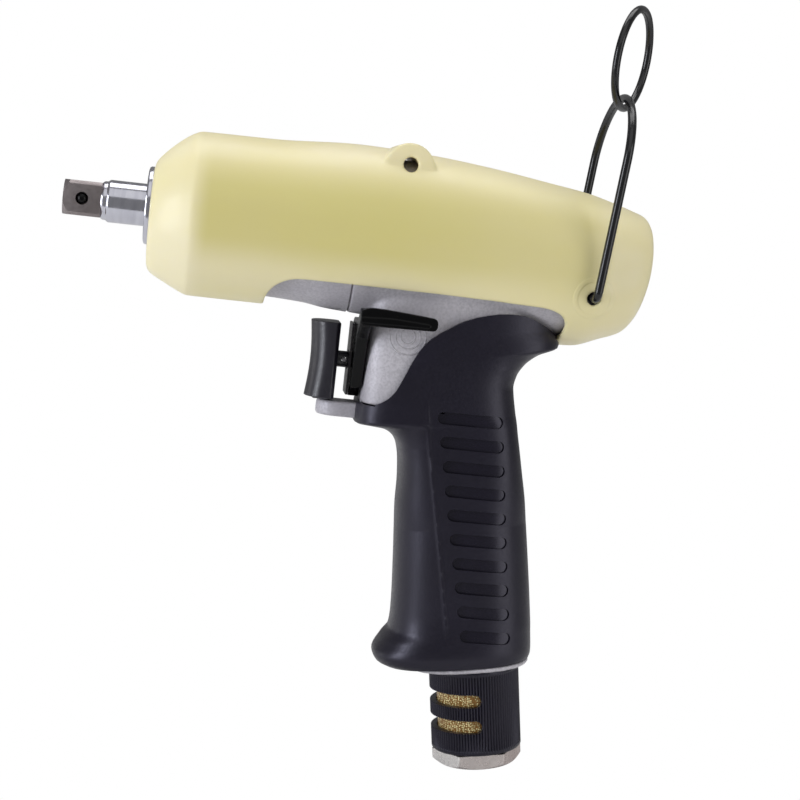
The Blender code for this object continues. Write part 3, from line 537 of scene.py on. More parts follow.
class Nodes:
    """Builds one Principled material from small node calls."""

    def __init__(self, name, roughness, metallic=0.0):
        self.material = bpy.data.materials.new(name)
        self.material.use_nodes = True
        self.tree = self.material.node_tree
        self.shader = self.tree.nodes["Principled BSDF"]
        self.shader.inputs["Roughness"].default_value = roughness
        self.shader.inputs["Metallic"].default_value = metallic
        self.place = self.new("ShaderNodeTexCoord").outputs["Object"]

    def new(self, kind, **settings):
        node = self.tree.nodes.new(kind)
        for key, value in settings.items():
            setattr(node, key, value)
        return node

    def link(self, source, target):
        self.tree.links.new(source, target)

    def feed(self, socket, value):
        """Links an output to a socket, or sets the socket's own value."""
        if isinstance(value, bpy.types.NodeSocket):
            self.link(value, socket)
        else:
            socket.default_value = value

    def math(self, operation, a, b=0.0):
        node = self.new("ShaderNodeMath", operation=operation)
        self.feed(node.inputs[0], a)
        self.feed(node.inputs[1], b)
        return node.outputs[0]

    def axes(self):
        node = self.new("ShaderNodeSeparateXYZ")
        self.link(self.place, node.inputs[0])
        return node.outputs

    def ramp(self, value, low, high, start=0.0, end=1.0):
        """A smooth rise from start to end as value goes from low to high."""
        node = self.new("ShaderNodeMapRange", interpolation_type="SMOOTHSTEP")
        self.feed(node.inputs["Value"], value)
        node.inputs["From Min"].default_value = low
        node.inputs["From Max"].default_value = high
        node.inputs["To Min"].default_value = start
        node.inputs["To Max"].default_value = end
        return node.outputs[0]

    def fade(self, place, near, far, start=0.0, end=1.0):
        """A ramp along an axis, between two places in mm."""
        return self.ramp(place, near * MM, far * MM, start, end)

    def noise(self, scale, detail=3.0, stretch=(1, 1, 1)):
        mapping = self.new("ShaderNodeMapping")
        mapping.inputs["Scale"].default_value = stretch
        self.link(self.place, mapping.inputs["Vector"])
        node = self.new("ShaderNodeTexNoise")
        node.inputs["Scale"].default_value = scale
        node.inputs["Detail"].default_value = detail
        self.link(mapping.outputs[0], node.inputs["Vector"])
        return node.outputs[0]

    def mix(self, share, first, second):
        """The first colour where share is 0 and the second where it is 1."""
        node = self.new("ShaderNodeMix", data_type="RGBA")
        first_socket, second_socket = node.inputs[6], node.inputs[7]
        self.feed(node.inputs["Factor"], share)
        self.feed(first_socket, first)
        self.feed(second_socket, second)
        return node.outputs[2]

    def ring(self, centre, radius, width):
        """1 on a ring around a point of the side view, 0 elsewhere, the same on both sides."""
        x, _, z = self.axes()
        from_x = self.math("SUBTRACT", x, centre[0] * MM)
        from_z = self.math("SUBTRACT", z, centre[1] * MM)
        squares = self.math(
            "ADD", self.math("MULTIPLY", from_x, from_x), self.math("MULTIPLY", from_z, from_z)
        )
        off_ring = self.math("ABSOLUTE", self.math("SUBTRACT", self.math("SQRT", squares), radius * MM))
        return self.ramp(off_ring, width * MM / 3, width * MM, 1.0, 0.0)

    def mottled(self, pattern, first, second):
        """Two close colours in the pattern of a noise."""
        return self.mix(self.ramp(pattern, *NOISE_SPAN), first, second)

    def colour(self, value):
        self.link(value, self.shader.inputs["Base Color"])

    def roughness(self, pattern, low, high):
        self.link(self.ramp(pattern, *NOISE_SPAN, low, high), self.shader.inputs["Roughness"])

    def bump(self, height, distance):
        node = self.new("ShaderNodeBump")
        node.inputs["Distance"].default_value = distance * MM
        self.link(height, node.inputs["Height"])
        self.link(node.outputs[0], self.shader.inputs["Normal"])


def srgb(red, green, blue):
    """A colour given as 0 to 255 display values."""
    values = []
    for value in (red, green, blue):
        share = value / 255
        values.append(share / 12.92 if share <= 0.04045 else ((share + 0.055) / 1.055) ** 2.4)
    return (*values, 1.0)


def grained(name, light, dark, roughness, metallic=0.0, grain=900, depth=0.02, spread=0.06,
            stretch=(1, 1, 1), specular=0.5):
    """A plain surface with fine grain: two close colours, uneven roughness and slight bump."""
    nodes = Nodes(name, roughness, metallic)
    blotches = nodes.noise(60, 4, stretch)
    fine = nodes.noise(grain, 3, stretch)
    nodes.colour(nodes.mottled(blotches, dark, light))
    nodes.roughness(fine, roughness - spread, roughness + spread)
    nodes.bump(fine, depth)
    nodes.shader.inputs["Specular IOR Level"].default_value = specular
    return nodes.material


def cover_material():
    """Milky yellow rubber, cream where it is thick or empty and olive over the dark casing. Cream
    toward the top is a painted highlight, and the olive also weakens toward the bottom and toward the
    rear.
    """
    nodes = Nodes("cover_rubber_look", 0.36)
    x, _, z = nodes.axes()
    over_front = nodes.fade(x, 34, 40.5)
    over_rear = nodes.fade(x, 142, 152, 1.0, 0.0)
    over_casing = nodes.math("MULTIPLY", over_front, over_rear)
    # Painted highlight: the olive fades to cream toward the top of the cover, where the light falls.
    below_painted_highlight = nodes.fade(z, 7, 21.5, 1.0, 0.0)
    above_belly = nodes.fade(z, -16, -5, 0.25, 1.0)
    toward_rear = nodes.fade(x, 85, 135, 1.0, 0.72)
    # Share of olive, held back toward the top by the painted highlight.
    shade = nodes.math("MULTIPLY", over_casing, nodes.math("MULTIPLY", below_painted_highlight, above_belly))
    shade = nodes.math("MULTIPLY", shade, toward_rear)
    clouds = nodes.noise(45, 3, (0.35, 1, 1))
    shade = nodes.math("MULTIPLY", shade, nodes.ramp(clouds, 0.25, 0.75, 0.8, 1.0))
    cream = nodes.mottled(clouds, srgb(243, 233, 196), srgb(240, 229, 180))
    olive = nodes.mottled(clouds, srgb(210, 199, 124), srgb(217, 207, 136))
    nodes.colour(nodes.mix(shade, cream, olive))
    fine = nodes.noise(500, 4)
    nodes.roughness(fine, 0.32, 0.42)
    boss = nodes.ring((BAIL_PIVOT.x, BAIL_PIVOT.z), BAIL_BOSS_RADIUS, 0.9)
    nodes.bump(nodes.math("ADD", nodes.math("MULTIPLY", fine, 0.1), boss), 0.15)
    nodes.shader.inputs["Subsurface Weight"].default_value = 0.15
    nodes.shader.inputs["Subsurface Radius"].default_value = (1.0, 0.9, 0.5)
    nodes.shader.inputs["Subsurface Scale"].default_value = 2 * MM
    nodes.shader.inputs["Specular IOR Level"].default_value = 0.4
    return nodes.material


def casting_material():
    """Blasted aluminium casting: pale grey with a lilac cast, fine pits and soft blotches."""
    nodes = Nodes("cast_aluminium_look", 0.42, 0.2)
    blotches = nodes.noise(70, 5)
    pits = nodes.noise(1400, 4)
    soft = nodes.mottled(blotches, srgb(178, 175, 182), srgb(200, 197, 203))
    nodes.colour(nodes.mix(nodes.ramp(pits, 0.35, 0.7, 0.0, 0.5), soft, srgb(158, 155, 162)))
    nodes.roughness(pits, 0.5, 0.64)
    height = nodes.math("MULTIPLY", pits, 0.25)
    for radius in CAST_MARK_RADII:
        height = nodes.math("ADD", height, nodes.ring(CAST_MARK, radius, 0.3))
    nodes.bump(height, 0.2)
    return nodes.material


def dark_material(name, roughness, spread, grain):
    """Bluish black rubber or plastic."""
    nodes = Nodes(name, roughness)
    fine = nodes.noise(1600, 4)
    nodes.colour(nodes.mottled(nodes.noise(80, 3), srgb(12, 9, 21), srgb(16, 13, 26)))
    nodes.roughness(fine, roughness - spread, roughness + spread)
    nodes.bump(fine, grain)
    nodes.shader.inputs["Specular IOR Level"].default_value = 0.5
    nodes.shader.inputs["Specular Tint"].default_value = (0.86, 0.84, 1.0, 1.0)
    return nodes.material


def weave_material():
    """Fine brass wire weave, coloured by its bump height: a painted highlight on the raised crossings
    and painted shade in the gaps.
    """
    nodes = Nodes("brass_mesh_look", 0.35, 0.3)
    cells = nodes.new("ShaderNodeTexVoronoi")
    cells.inputs["Scale"].default_value = 1700
    cells.inputs["Randomness"].default_value = 0.55
    nodes.link(nodes.place, cells.inputs["Vector"])
    height = nodes.ramp(cells.outputs["Distance"], 0.15, 0.6, 1.0, 0.0)
    # Painted light: the colour follows the height, bright as a painted highlight on the crossings and
    # dark as painted shade in the gaps.
    nodes.colour(nodes.mix(height, srgb(138, 98, 40), srgb(255, 240, 178)))
    nodes.bump(height, 0.12)
    return nodes.material


def nickel_material():
    """Plated inlet hexagon with painted shade: each face is painted darker than the one before it
    toward the rear, as the light falls on them, plus faint stains.
    """
    nodes = Nodes("nickel_look", 0.3, 0.9)
    x, _, _ = nodes.axes()
    # Painted shade: the second and third faces are darkened in steps at their corners, standing for how
    # the light falls on each face.
    second_face_painted_shade = nodes.fade(x, 125.4, 125.9, 0.0, 0.55)
    third_face_painted_shade = nodes.fade(x, 138.1, 138.6, 0.0, 0.3)
    stains = nodes.ramp(nodes.noise(300, 4), *NOISE_SPAN, -0.05, 0.05)
    painted_facet_shade_and_stains = nodes.math("ADD", nodes.math("ADD", second_face_painted_shade, third_face_painted_shade), stains)
    # The dark colour is the painted shade of the rear faces; the stains only spread it slightly.
    nodes.colour(nodes.mix(painted_facet_shade_and_stains, srgb(252, 248, 245), srgb(160, 143, 139)))
    fine = nodes.noise(700, 3)
    nodes.roughness(fine, 0.24, 0.36)
    nodes.bump(fine, 0.003)
    return nodes.material


def build_materials():
    return {
        "cover_rubber": cover_material(),
        "cast_aluminium": casting_material(),
        "grip_rubber": dark_material("grip_rubber_look", 0.38, 0.05, 0.02),
        "grip_groove": dark_material("grip_groove_look", 0.26, 0.01, 0.001),
        "brass_mesh": weave_material(),
        "black_plastic": grained(
            "black_plastic_look", srgb(8, 8, 9), srgb(5, 5, 6), 0.2, spread=0.03, depth=0.004,
            specular=0.16
        ),
        "trigger_plastic": grained(
            "trigger_plastic_look", srgb(30, 28, 38), srgb(24, 22, 32), 0.36, depth=0.015, grain=1800,
            specular=0.65
        ),
        "sleeve_plastic": dark_material("sleeve_plastic_look", 0.38, 0.04, 0.006),
        "black_wire": grained(
            "black_wire_look", srgb(20, 20, 23), srgb(13, 13, 15), 0.2, depth=0.005, spread=0.05
        ),
        "polished_steel": grained(
            "polished_steel_look", srgb(205, 205, 214), srgb(190, 190, 200), 0.16, 1.0, grain=300,
            depth=0.004, spread=0.04, stretch=(8, 1, 1)
        ),
        "dark_steel": grained(
            "dark_steel_look", srgb(70, 67, 70), srgb(52, 50, 52), 0.3, 0.9, depth=0.01
        ),
        "square_steel": grained(
            "square_steel_look", srgb(150, 142, 142), srgb(122, 114, 114), 0.38, 0.85, grain=1200,
            depth=0.015
        ),
        "hardened_steel": grained(
            "hardened_steel_look", srgb(176, 176, 182), srgb(150, 150, 158), 0.3, 1.0, grain=500,
            depth=0.006, stretch=(1, 6, 6)
        ),
        "nickel": nickel_material(),
        "brass": grained("brass_look", srgb(214, 178, 104), srgb(190, 150, 80), 0.32, 1.0),
        "bronze": grained("bronze_look", srgb(186, 140, 92), srgb(156, 112, 70), 0.38, 1.0),
        "vane_fibre": grained(
            "vane_fibre_look", srgb(142, 104, 66), srgb(118, 82, 50), 0.6, depth=0.03,
            stretch=(4, 1, 1)
        ),
        "seal_rubber": grained("seal_rubber_look", srgb(32, 32, 32), srgb(24, 24, 24), 0.55),
        "felt": grained(
            "felt_look", srgb(205, 200, 186), srgb(178, 172, 158), 0.9, grain=2500, depth=0.15
        ),
    }


LOOKS = build_materials()


def finished(obj, look, body, slot, *nodes):
    """Gives a piece its material and its place among the CAD bodies."""
    obj.data.materials.clear()
    obj.data.materials.append(LOOKS[look])
    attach(obj, body)
    if nodes:
        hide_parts(*nodes)
    return obj


# ---------------------------------------------------------------- cover

def cover_opening():
    """Side outline cut away from below for the belly of the casing and the handle."""
    notch = [(57.2, -34.0), (57.4, -21.6), (58.0, -19.9), (59.0, -18.4), (60.3, -17.2)]
    notch += [(61.8, -16.3), (63.4, -15.6), (65.4, -15.15), (68.0, -15.0)]
    edge = [(80.0, -15.0), (104.0, -15.1), (120.0, -15.4), (133.0, -15.8)]
    corner = [(135.2, -16.1), (137.0, -16.6), (138.5, -17.3), (139.6, -18.3), (140.2, -19.6)]
    return notch + edge + corner + [(140.4, -21.3), (140.0, -23.0), (139.4, -24.6), (138.4, -34.0)]


def lug_outline():
    bottom = [(-7.0, -5.0), (-7.1, -1.4), (-6.9, 0.8)]
    crown = [(-x, z) for x, z in arc((0, -1.0), 6.9, 20, 160, 17)]
    return bottom + crown + [(6.9, 0.8), (7.1, -1.4), (7.0, -5.0)]


def cover():
    first, last = COVER_HOLLOW
    inner_stations = [row for row in COVER_STATIONS if first < row[0] < last]
    lug = plate("cover_lug", lug_outline(), 26.4, side_view(LUG_HOLE))
    shell = barrel("cover_body", COVER_STATIONS, 0.6, count=128)
    shell = boolean(shell, bevelled(lug, 0.7, 2), "UNION")
    shell = boolean(shell, barrel("cover_hollow", inner_stations, 1.0, -COVER_WALL))
    shell = boolean(shell, barrel("front_clearance", FRONT_CASE_STATIONS[2:], 1.0, GAP))
    shell = boolean(shell, barrel("rear_clearance", HOUSING_STATIONS, 1.0, GAP))
    shell = boolean(shell, rod("nose_hole", 11.05, 15, 40, steps=96))
    shell = boolean(shell, plate("opening", cover_opening(), 80.0, side_view()))
    shell = boolean(shell, rod("lug_hole", 2.1, -30, 30, LUG_HOLE + BACK * 0.2, RIGHT))
    shell = boolean(shell, rod("bail_hole", BAIL_WIRE + 0.7, -30, 30, BAIL_PIVOT, RIGHT))
    shell = fused("protective_cover_skin", [shell], 0.5, 3)
    finished(shell, "cover_rubber", "housing", "cover_rubber", "protective_cover")


# ---------------------------------------------------------------- castings

def seam_lip(name, inset):
    """A short spigot inside the seam between the two castings, inset from their outside."""
    around_seam = tuple((x, *HOUSING_STATIONS[0][1:]) for x in (SEAM_X - 0.6, SEAM_X + 0.6))
    return barrel(name, around_seam, 0.4, -inset)


def front_casting():
    case = barrel("front_case_casting", FRONT_CASE_STATIONS, 0.8)
    case = boolean(case, seam_lip("lip_clearance", 0.6))
    case = boolean(case, rod("nose_bore", 9.6, 20, 40, steps=64))
    case = boolean(case, rod("pulse_bore", 14.2, 37.6, 90, steps=64))
    smooth(case)
    finished(case, "cast_aluminium", "housing", "cast_aluminium", "front_case")


def guard_tab():
    half_width = 5.4
    front = 74.9
    outline = arc((front + half_width, 0), half_width, 90, 270, 25)
    outline += [(92.0, -half_width), (92.0, half_width)]
    tab = plate("guard_tab", outline, 4.3, plane((0, 0, -50.55), BACK, RIGHT))
    return bevelled(tab, 1.9, 5, 60)


def foot():
    stations = ((119.3, -20.5, 15.5, 16.9), (120.2, -20.0, 15.4, 16.8), (120.7, -19.0, 14.9, 16.2))
    return skin("handle_foot", from_handle(*handle_rows(stations, 0.2)))


def rear_casting():
    """Barrel, handle root, guard tab and handle core, blended as one casting."""
    solids = [
        barrel("housing_barrel", HOUSING_STATIONS, 0.8),
        handle_root("housing_root"),
        handle_core("housing_core"),
        guard_tab(),
        box("guard_neck", (84, -4.8, -52.0), (102, 4.8, -49.6)),
        foot(),
    ]
    casting = fused("main_housing_casting", solids, 0.55, 5)
    casting = boolean(casting, seam_lip("housing_lip", 0.8), "UNION")
    casting = boolean(casting, rod("motor_bore", 14.9, 70, 123))
    casting = boolean(casting, rod("exhaust_chamber", 10.5, 110, 141))
    casting = boolean(casting, rod("valve_chamber", 7.0, 80, 120.5, (0, 0, ROD_Z)))
    casting = boolean(casting, rod("air_bore", 5.6, 33, 130, HANDLE_ROOT, DOWN_HANDLE))
    stem_bore = rod("stem_bore", STEM_RADIUS + GAP, 108.5, 130, HANDLE_ROOT, DOWN_HANDLE)
    casting = boolean(casting, stem_bore)
    for side in (-1, 1):
        casting = boolean(casting, rod("bail_socket", 1.6, 14.2, 26, BAIL_PIVOT, RIGHT * side))
    smooth(casting, 60)
    finished(casting, "cast_aluminium", "housing", "cast_aluminium", "main_housing")


# ---------------------------------------------------------------- grip

def groove_places():
    """(left, right, height) of the finger grooves, from the top down."""
    for i in range(GROOVES):
        share = i / (GROOVES - 1)
        yield [a + (b - a) * share for a, b in zip(GROOVE_FIRST, GROOVE_LAST)]


def cut_grooves(sleeve, spacing):
    """Slots with round ends. Their floors follow the grip's surface, shallower toward the rear."""
    across, side, down = handle_rows(GRIP_STATIONS, spacing, count=200)
    depth = np.interp(across, *zip(*GROOVE_FLOOR))
    floor = skin("groove_floor", from_handle(across, side * (1 - depth / GROOVE_HALF_WIDTH), down))
    slots = []
    for left, right, height in groove_places():
        outline = arc((left + GROOVE_RADIUS, height), GROOVE_RADIUS, 90, 270, 17)
        outline += arc((right - GROOVE_RADIUS, height), GROOVE_RADIUS, -90, 90, 17)
        slots.append(plate("groove", outline, 60.0, side_view()))
    return boolean(sleeve, boolean(joined("grooves", slots), floor))


def polish_grooves(sleeve):
    """Gives the smooth floors of the grooves their own, glossier material."""
    inside_walls = GROOVE_RADIUS * 0.98
    sleeve.data.materials.append(LOOKS["grip_groove"])
    centres = np.empty(len(sleeve.data.polygons) * 3)
    sleeve.data.polygons.foreach_get("center", centres)
    x, _, z = centres.reshape(-1, 3).T / MM
    floors = np.zeros(x.shape, bool)
    for left, right, height in groove_places():
        nearest = np.clip(x, left + GROOVE_RADIUS, right - GROOVE_RADIUS)
        floors |= np.hypot(x - nearest, z - height) < inside_walls
    sleeve.data.polygons.foreach_set("material_index", floors.astype(np.int32))


def grip_border():
    """Side outline of the bare metal above and in front of the rubber."""
    front = [(70.0, -47.8), (86.0, -47.8), (89.0, -47.6), (90.9, -47.1), (92.4, -46.3)]
    front += [(93.8, -45.2), (94.8, -44.1), (95.8, -42.6)]
    rise = [(97.5, -38.6), (99.1, -34.6), (100.8, -31.2), (102.2, -29.2), (103.8, -27.5)]
    rise += [(106.0, -25.7), (108.5, -24.1), (110.4, -22.8), (112.4, -21.7)]
    crown = [(115.4, -20.5), (118.5, -19.6), (121.6, -18.9), (124.7, -18.6), (127.0, -18.6)]
    crown += [(129.0, -18.8), (131.3, -19.4), (133.4, -20.2), (135.7, -21.3), (137.9, -22.6)]
    return front + rise + crown + [(139.2, -24.0), (150.0, -25.6), (150.0, 10.0), (70.0, 10.0)]


def grip():
    spacing = 0.4
    across, side, down = handle_rows(GRIP_STATIONS, spacing, count=300)
    points = from_handle(across, side, down)
    line = np.interp(down, *zip(*MOULD_LINE))
    fade = np.clip((down - 42) / 6, 0, 1) * np.clip((110 - down) / 3, 0, 1)
    ridge = MOULD_LINE_HEIGHT * np.exp(-((across - line) / MOULD_LINE_WIDTH) ** 2) * fade
    points[..., 1] += np.sign(side) * ridge
    sleeve = cut_grooves(skin("grip_sleeve_rubber", points), spacing)
    sleeve = boolean(sleeve, plate("bare_metal", grip_border(), 80.0, side_view()))
    sleeve = boolean(sleeve, handle_core("core_clearance", GAP))
    sleeve = boolean(sleeve, handle_root("root_clearance", GAP))
    sleeve = boolean(sleeve, barrel("barrel_clearance", HOUSING_STATIONS, 1.0, 0.5))
    edge = barrel("cover_clearance", COVER_STATIONS[9:13], 1.0, 0.4)
    edge = boolean(edge, plate("cover_edge", cover_opening(), 80.0, side_view((-0.5, 0, 0))))
    sleeve = boolean(sleeve, edge)
    sleeve = boolean(sleeve, box("front_trim", (70, -20, -60), (85.3, 20, -40)))
    sleeve = boolean(sleeve, box("neck_clearance", (80, -5.1, -52.3), (102, 5.1, -49.3)))
    smooth(sleeve, 40)
    finished(sleeve, "grip_rubber", "housing", "grip_rubber", "grip_sleeve")
    polish_grooves(sleeve)


# ---------------------------------------------------------------- drive end

def drive():
    """Shaft with its stepped neck, and the square with a turned front end and a detent hole."""
    profile = [
        (0, 72.0), (3.9, 72.0), (3.9, 67.5), (7.4, 67.5), (7.4, 43.0), (SHAFT_RADIUS, 43.0),
        (SHAFT_RADIUS, 12.5), (5.6, 12.0), (5.35, 11.8), (5.3, 10.9), (5.0, SQUARE_LENGTH),
        (0, SQUARE_LENGTH),
    ]
    shaft = turned("drive_shaft_skin", profile, steps=128)
    shaft = boolean(shaft, box("blade_slot", (44.5, -1.45, -9), (66.5, 1.45, 9)))
    smooth(shaft, 30)
    finished(shaft, "polished_steel", "anvil", "polished_steel", "main_shaft")
    half = SQUARE / 2
    chamfer = 0.9
    outline = [
        (half, -half + chamfer), (half, half - chamfer), (half - chamfer, half),
        (-half + chamfer, half), (-half, half - chamfer), (-half, -half + chamfer),
        (-half + chamfer, -half), (half - chamfer, -half),
    ]
    middle = front_view((SQUARE_LENGTH / 2, 0, 0))
    square = plate("square_drive_skin", outline, SQUARE_LENGTH - 0.02, middle)
    end_turning = [
        (0, 11.0), (6.6, 11.0), (6.6, 2.2), (6.2, 1.6), (5.6, 0.8), (4.9, 0.01), (0, 0.01),
    ]
    square = boolean(square, turned("end_turning", end_turning), "INTERSECT")
    square = bevelled(square, 0.18, 2, 20)
    square = boolean(square, rod("detent_hole", 1.75, -6, 1.2, (DETENT_X, 0, 0), RIGHT))
    smooth(square, 30)
    finished(square, "square_steel", "anvil", "polished_steel")
    pin = [(0, 3.5), (0.5, 3.45), (1.0, 3.2), (1.3, 2.8), (1.4, 2.4), (1.4, 0), (0, 0)]
    pin = turned("detent_pin_skin", pin, (DETENT_X, -1.76, 0), -RIGHT, 48)
    # The steel pin takes the black plastic look: painted shade, as the pin sits dark down its hole.
    finished(pin, "black_plastic", "detent", "dark_steel", "detent_pin")


def nose():
    profile = [
        (9.3, 36.0), (9.3, 23.9), (10.75, 23.9), (10.75, 23.2), (10.5, 22.75), (10.0, 22.6),
        (7.9, 22.6), (7.5, 22.8), (7.4, 23.2), (7.4, 36.0),
    ]
    disc = turned("nose_bushing_skin", profile, steps=128)
    finished(disc, "polished_steel", "housing", "polished_steel", "nose_bushing")


# ---------------------------------------------------------------- trigger and lever

def trigger_pad():
    """Rows of an outline with a round front, slightly hollow toward the middle of its height."""
    count = 13
    hollow = 0.8
    round_depth = 5.2
    chamfer = 1.0
    round_front = arc((0, 0), 1.0, 90, 270, 21)
    rows = []
    for i in range(count):
        t = i / (count - 1)
        z = TRIGGER_TOP + (TRIGGER_BOTTOM - TRIGGER_TOP) * t
        front = TRIGGER_FRONT + hollow * math.sin(math.pi * t)
        ring = [(front + round_depth * (1 + x), y * TRIGGER_HALF_WIDTH) for x, y in round_front]
        ring += [
            (TRIGGER_REAR - chamfer, -TRIGGER_HALF_WIDTH), (TRIGGER_REAR, chamfer - TRIGGER_HALF_WIDTH),
            (TRIGGER_REAR, TRIGGER_HALF_WIDTH - chamfer), (TRIGGER_REAR - chamfer, TRIGGER_HALF_WIDTH),
        ]
        rows.append([(x, y, z) for x, y in ring])
    return skin("trigger_pad", np.array(rows))


def trigger():
    toe = box("trigger_toe", (73.6, -4.2, -48.25), (78.6, 4.2, -46))
    pad = fused("trigger_skin", [trigger_pad(), toe], 0.25, 4)
    boss = rod("trigger_boss", 2.3, 78.4, 84.2, (0, 0, ROD_Z))
    pad = boolean(pad, bevelled(boss, 0.25, 2), "UNION")
    pad = boolean(pad, rod("trigger_rod", 1.5, 83.5, 105.7, (0, 0, ROD_Z)), "UNION")
    pad = boolean(pad, rod("pin_hole", 0.75, -5, 5, (PIN_X, 0, ROD_Z), RIGHT))
    smooth(pad, 40)
    finished(pad, "trigger_plastic", "trigger", "black_plastic", "trigger")
    dome = [(0, 2.55), (0.35, 2.5), (0.6, 2.3), (0.6, -2.3), (0.35, -2.5), (0, -2.55)]
    pin = turned("trigger_pin_skin", dome, (PIN_X, 0, ROD_Z), RIGHT, 32)
    # The steel pin takes the pale casting look: a painted highlight standing for the bright glint on
    # its dome.
    finished(pin, "cast_aluminium", "trigger", "polished_steel", "trigger_pin")


def lever_plate():
    outline = rounded([(-6.4, -9.4), (6.4, -9.4), (6.4, 10.6), (-6.4, 10.6)], 1.0)
    sheet = plate("lever_plate_skin", outline, 0.6, front_view((82.8, 0, ROD_Z)))
    sheet = boolean(sheet, rod("plate_hole", 2.9, 80, 90, (0, 0, ROD_Z)))
    smooth(sheet)
    finished(sheet, "dark_steel", "housing", "dark_steel", "lever_plate")


def reverse_lever():
    """A flat disc behind the trigger, with one wing on the -Y side and a ridge along the wing."""
    lower = arc((0, 0), 10.0, -100, 40, 25)
    upper = rounded([
        (9.0, 8.9), (4.0, 12.0), (-12.0, 12.3), (-17.0, 16.0), (-21.0, 15.6), (-21.2, 11.6),
        (-14.4, 7.0), (-11.0, -2.0), (-9.0, -7.6),
    ], 1.5)
    flat = plate("lever_flat", lower + upper, 3.2, front_view((85.0, 0, ROD_Z)))
    wing_view = side_view((0, -19.5, 0))
    wing = rounded([
        (83.4, -21.4), (86.0, -20.5), (90.0, -20.6), (98.0, -21.2), (104.6, -21.8),
        (104.6, -25.2), (90.0, -25.5), (83.4, -25.5),
    ], 1.4)
    wing = bevelled(plate("lever_wing", wing, 3.4, wing_view), 0.9, 3, 60)
    ridge = rounded([
        (83.6, -24.6), (83.6, -23.4), (92.0, -23.0), (102.5, -23.6), (102.5, -24.4),
    ], 0.5)
    ridge = bevelled(plate("lever_ridge", ridge, 3.8, wing_view), 0.5, 2, 60)
    lever = fused("reverse_lever_skin", [flat, wing, ridge], 0.22, 4)
    lever = boolean(lever, rod("lever_hole", 2.9, 80, 90, (0, 0, ROD_Z)))
    smooth(lever, 50)
    finished(lever, "black_plastic", "reverse_lever", "black_plastic", "reverse_lever")


# ---------------------------------------------------------------- exhaust and inlet

def exhaust_sleeve():
    """Turning sleeve with fine ribs and two slots with round ends across its front."""
    ribs = 96
    points_per_rib = 6
    rib_depth = 0.4
    length = SLEEVE_BOTTOM - SLEEVE_TOP
    angle = np.linspace(0, 2 * np.pi, ribs * points_per_rib, endpoint=False)
    wave = 0.5 + 0.5 * np.cos(angle * ribs)
    ribbed = SLEEVE_RADIUS - rib_depth * (1 - wave ** 0.7)
    plain = np.full_like(angle, SLEEVE_RADIUS)
    inside = np.full_like(angle, 11.2)
    collar = np.full_like(angle, 8.4)
    rows = [
        (collar, 0.0), (plain - 0.7, 0.0), (plain - 0.15, 0.25), (plain, 0.8), (plain, 1.5),
        (ribbed, 1.9), (ribbed, length - 1.5), (plain, length - 1.1), (plain, length - 0.5),
        (plain - 0.4, length), (inside, length), (inside, 1.2), (collar, 1.2), (collar, 0.0),
    ]
    side = np.sin(angle)
    across = np.cos(angle)
    points = [
        from_handle(radius * across, radius * side, np.full_like(angle, SLEEVE_TOP + down))
        for radius, down in rows
    ]
    sleeve = welded(skin("exhaust_sleeve_skin", np.array(points), cap=False))
    for low, high in ((127.9, 131.6), (135.4, 139.1)):
        half = (high - low) / 2
        outline = arc((0.4 - half, 0), half, -90, 90, 17) + [(-20, half), (-20, -half)]
        place = plane(on_handle((low + high) / 2), ACROSS_HANDLE, DOWN_HANDLE)
        sleeve = boolean(sleeve, plate("slot", outline, 40, place))
    smooth(sleeve, 40)
    finished(sleeve, "sleeve_plastic", "exhaust_sleeve", "black_plastic", "exhaust_sleeve")


def inlet():
    """Inlet stem with its hexagon, corners turned off at the lower end."""
    length = HEX_BOTTOM - STEM_TOP
    hex_length = HEX_BOTTOM - HEX_TOP
    base = on_handle(STEM_TOP)
    corner = HEX_ACROSS_FLATS / math.sqrt(3)
    place = plane(on_handle((HEX_TOP + HEX_BOTTOM) / 2), ACROSS_HANDLE, -RIGHT)
    nut = plate("inlet_bushing_skin", arc((0, 0), corner, 0, 300, 6), hex_length, place)
    turning = [
        (0, length), (HEX_ACROSS_FLATS / 2 - 0.4, length), (corner - 0.1, length - 1.3),
        (corner - 0.1, length - hex_length), (0, length - hex_length),
    ]
    nut = boolean(nut, turned("hexagon_turning", turning, base, DOWN_HANDLE, 128), "INTERSECT")
    nut = boolean(nut, rod("inlet_stem", STEM_RADIUS, 0, length - 1, base, DOWN_HANDLE, 64), "UNION")
    bore = [
        (0, length + 1), (INLET_BORE + 2.0, length + 1), (INLET_BORE, length - 1.0),
        (INLET_BORE, -1), (0, -1),
    ]
    nut = boolean(nut, turned("inlet_bore", bore, base, DOWN_HANDLE, 64))
    smooth(nut, 20)
    finished(nut, "nickel", "housing", "nickel", "inlet_bushing")


# ---------------------------------------------------------------- hanger

def wire(name, points, radius, closed=False):
    """Round wire along points."""
    curve = bpy.data.curves.new(name, "CURVE")
    curve.dimensions = "3D"
    curve.bevel_depth = radius * MM
    curve.bevel_resolution = 6
    curve.use_fill_caps = True
    spline = curve.splines.new("POLY")
    spline.points.add(len(points) - 1)
    for point, place in zip(spline.points, points):
        point.co = (*(Vector(place) * MM), 1)
    spline.use_cyclic_u = closed
    return smooth(welded(applied(new_object(name, curve))), 40)


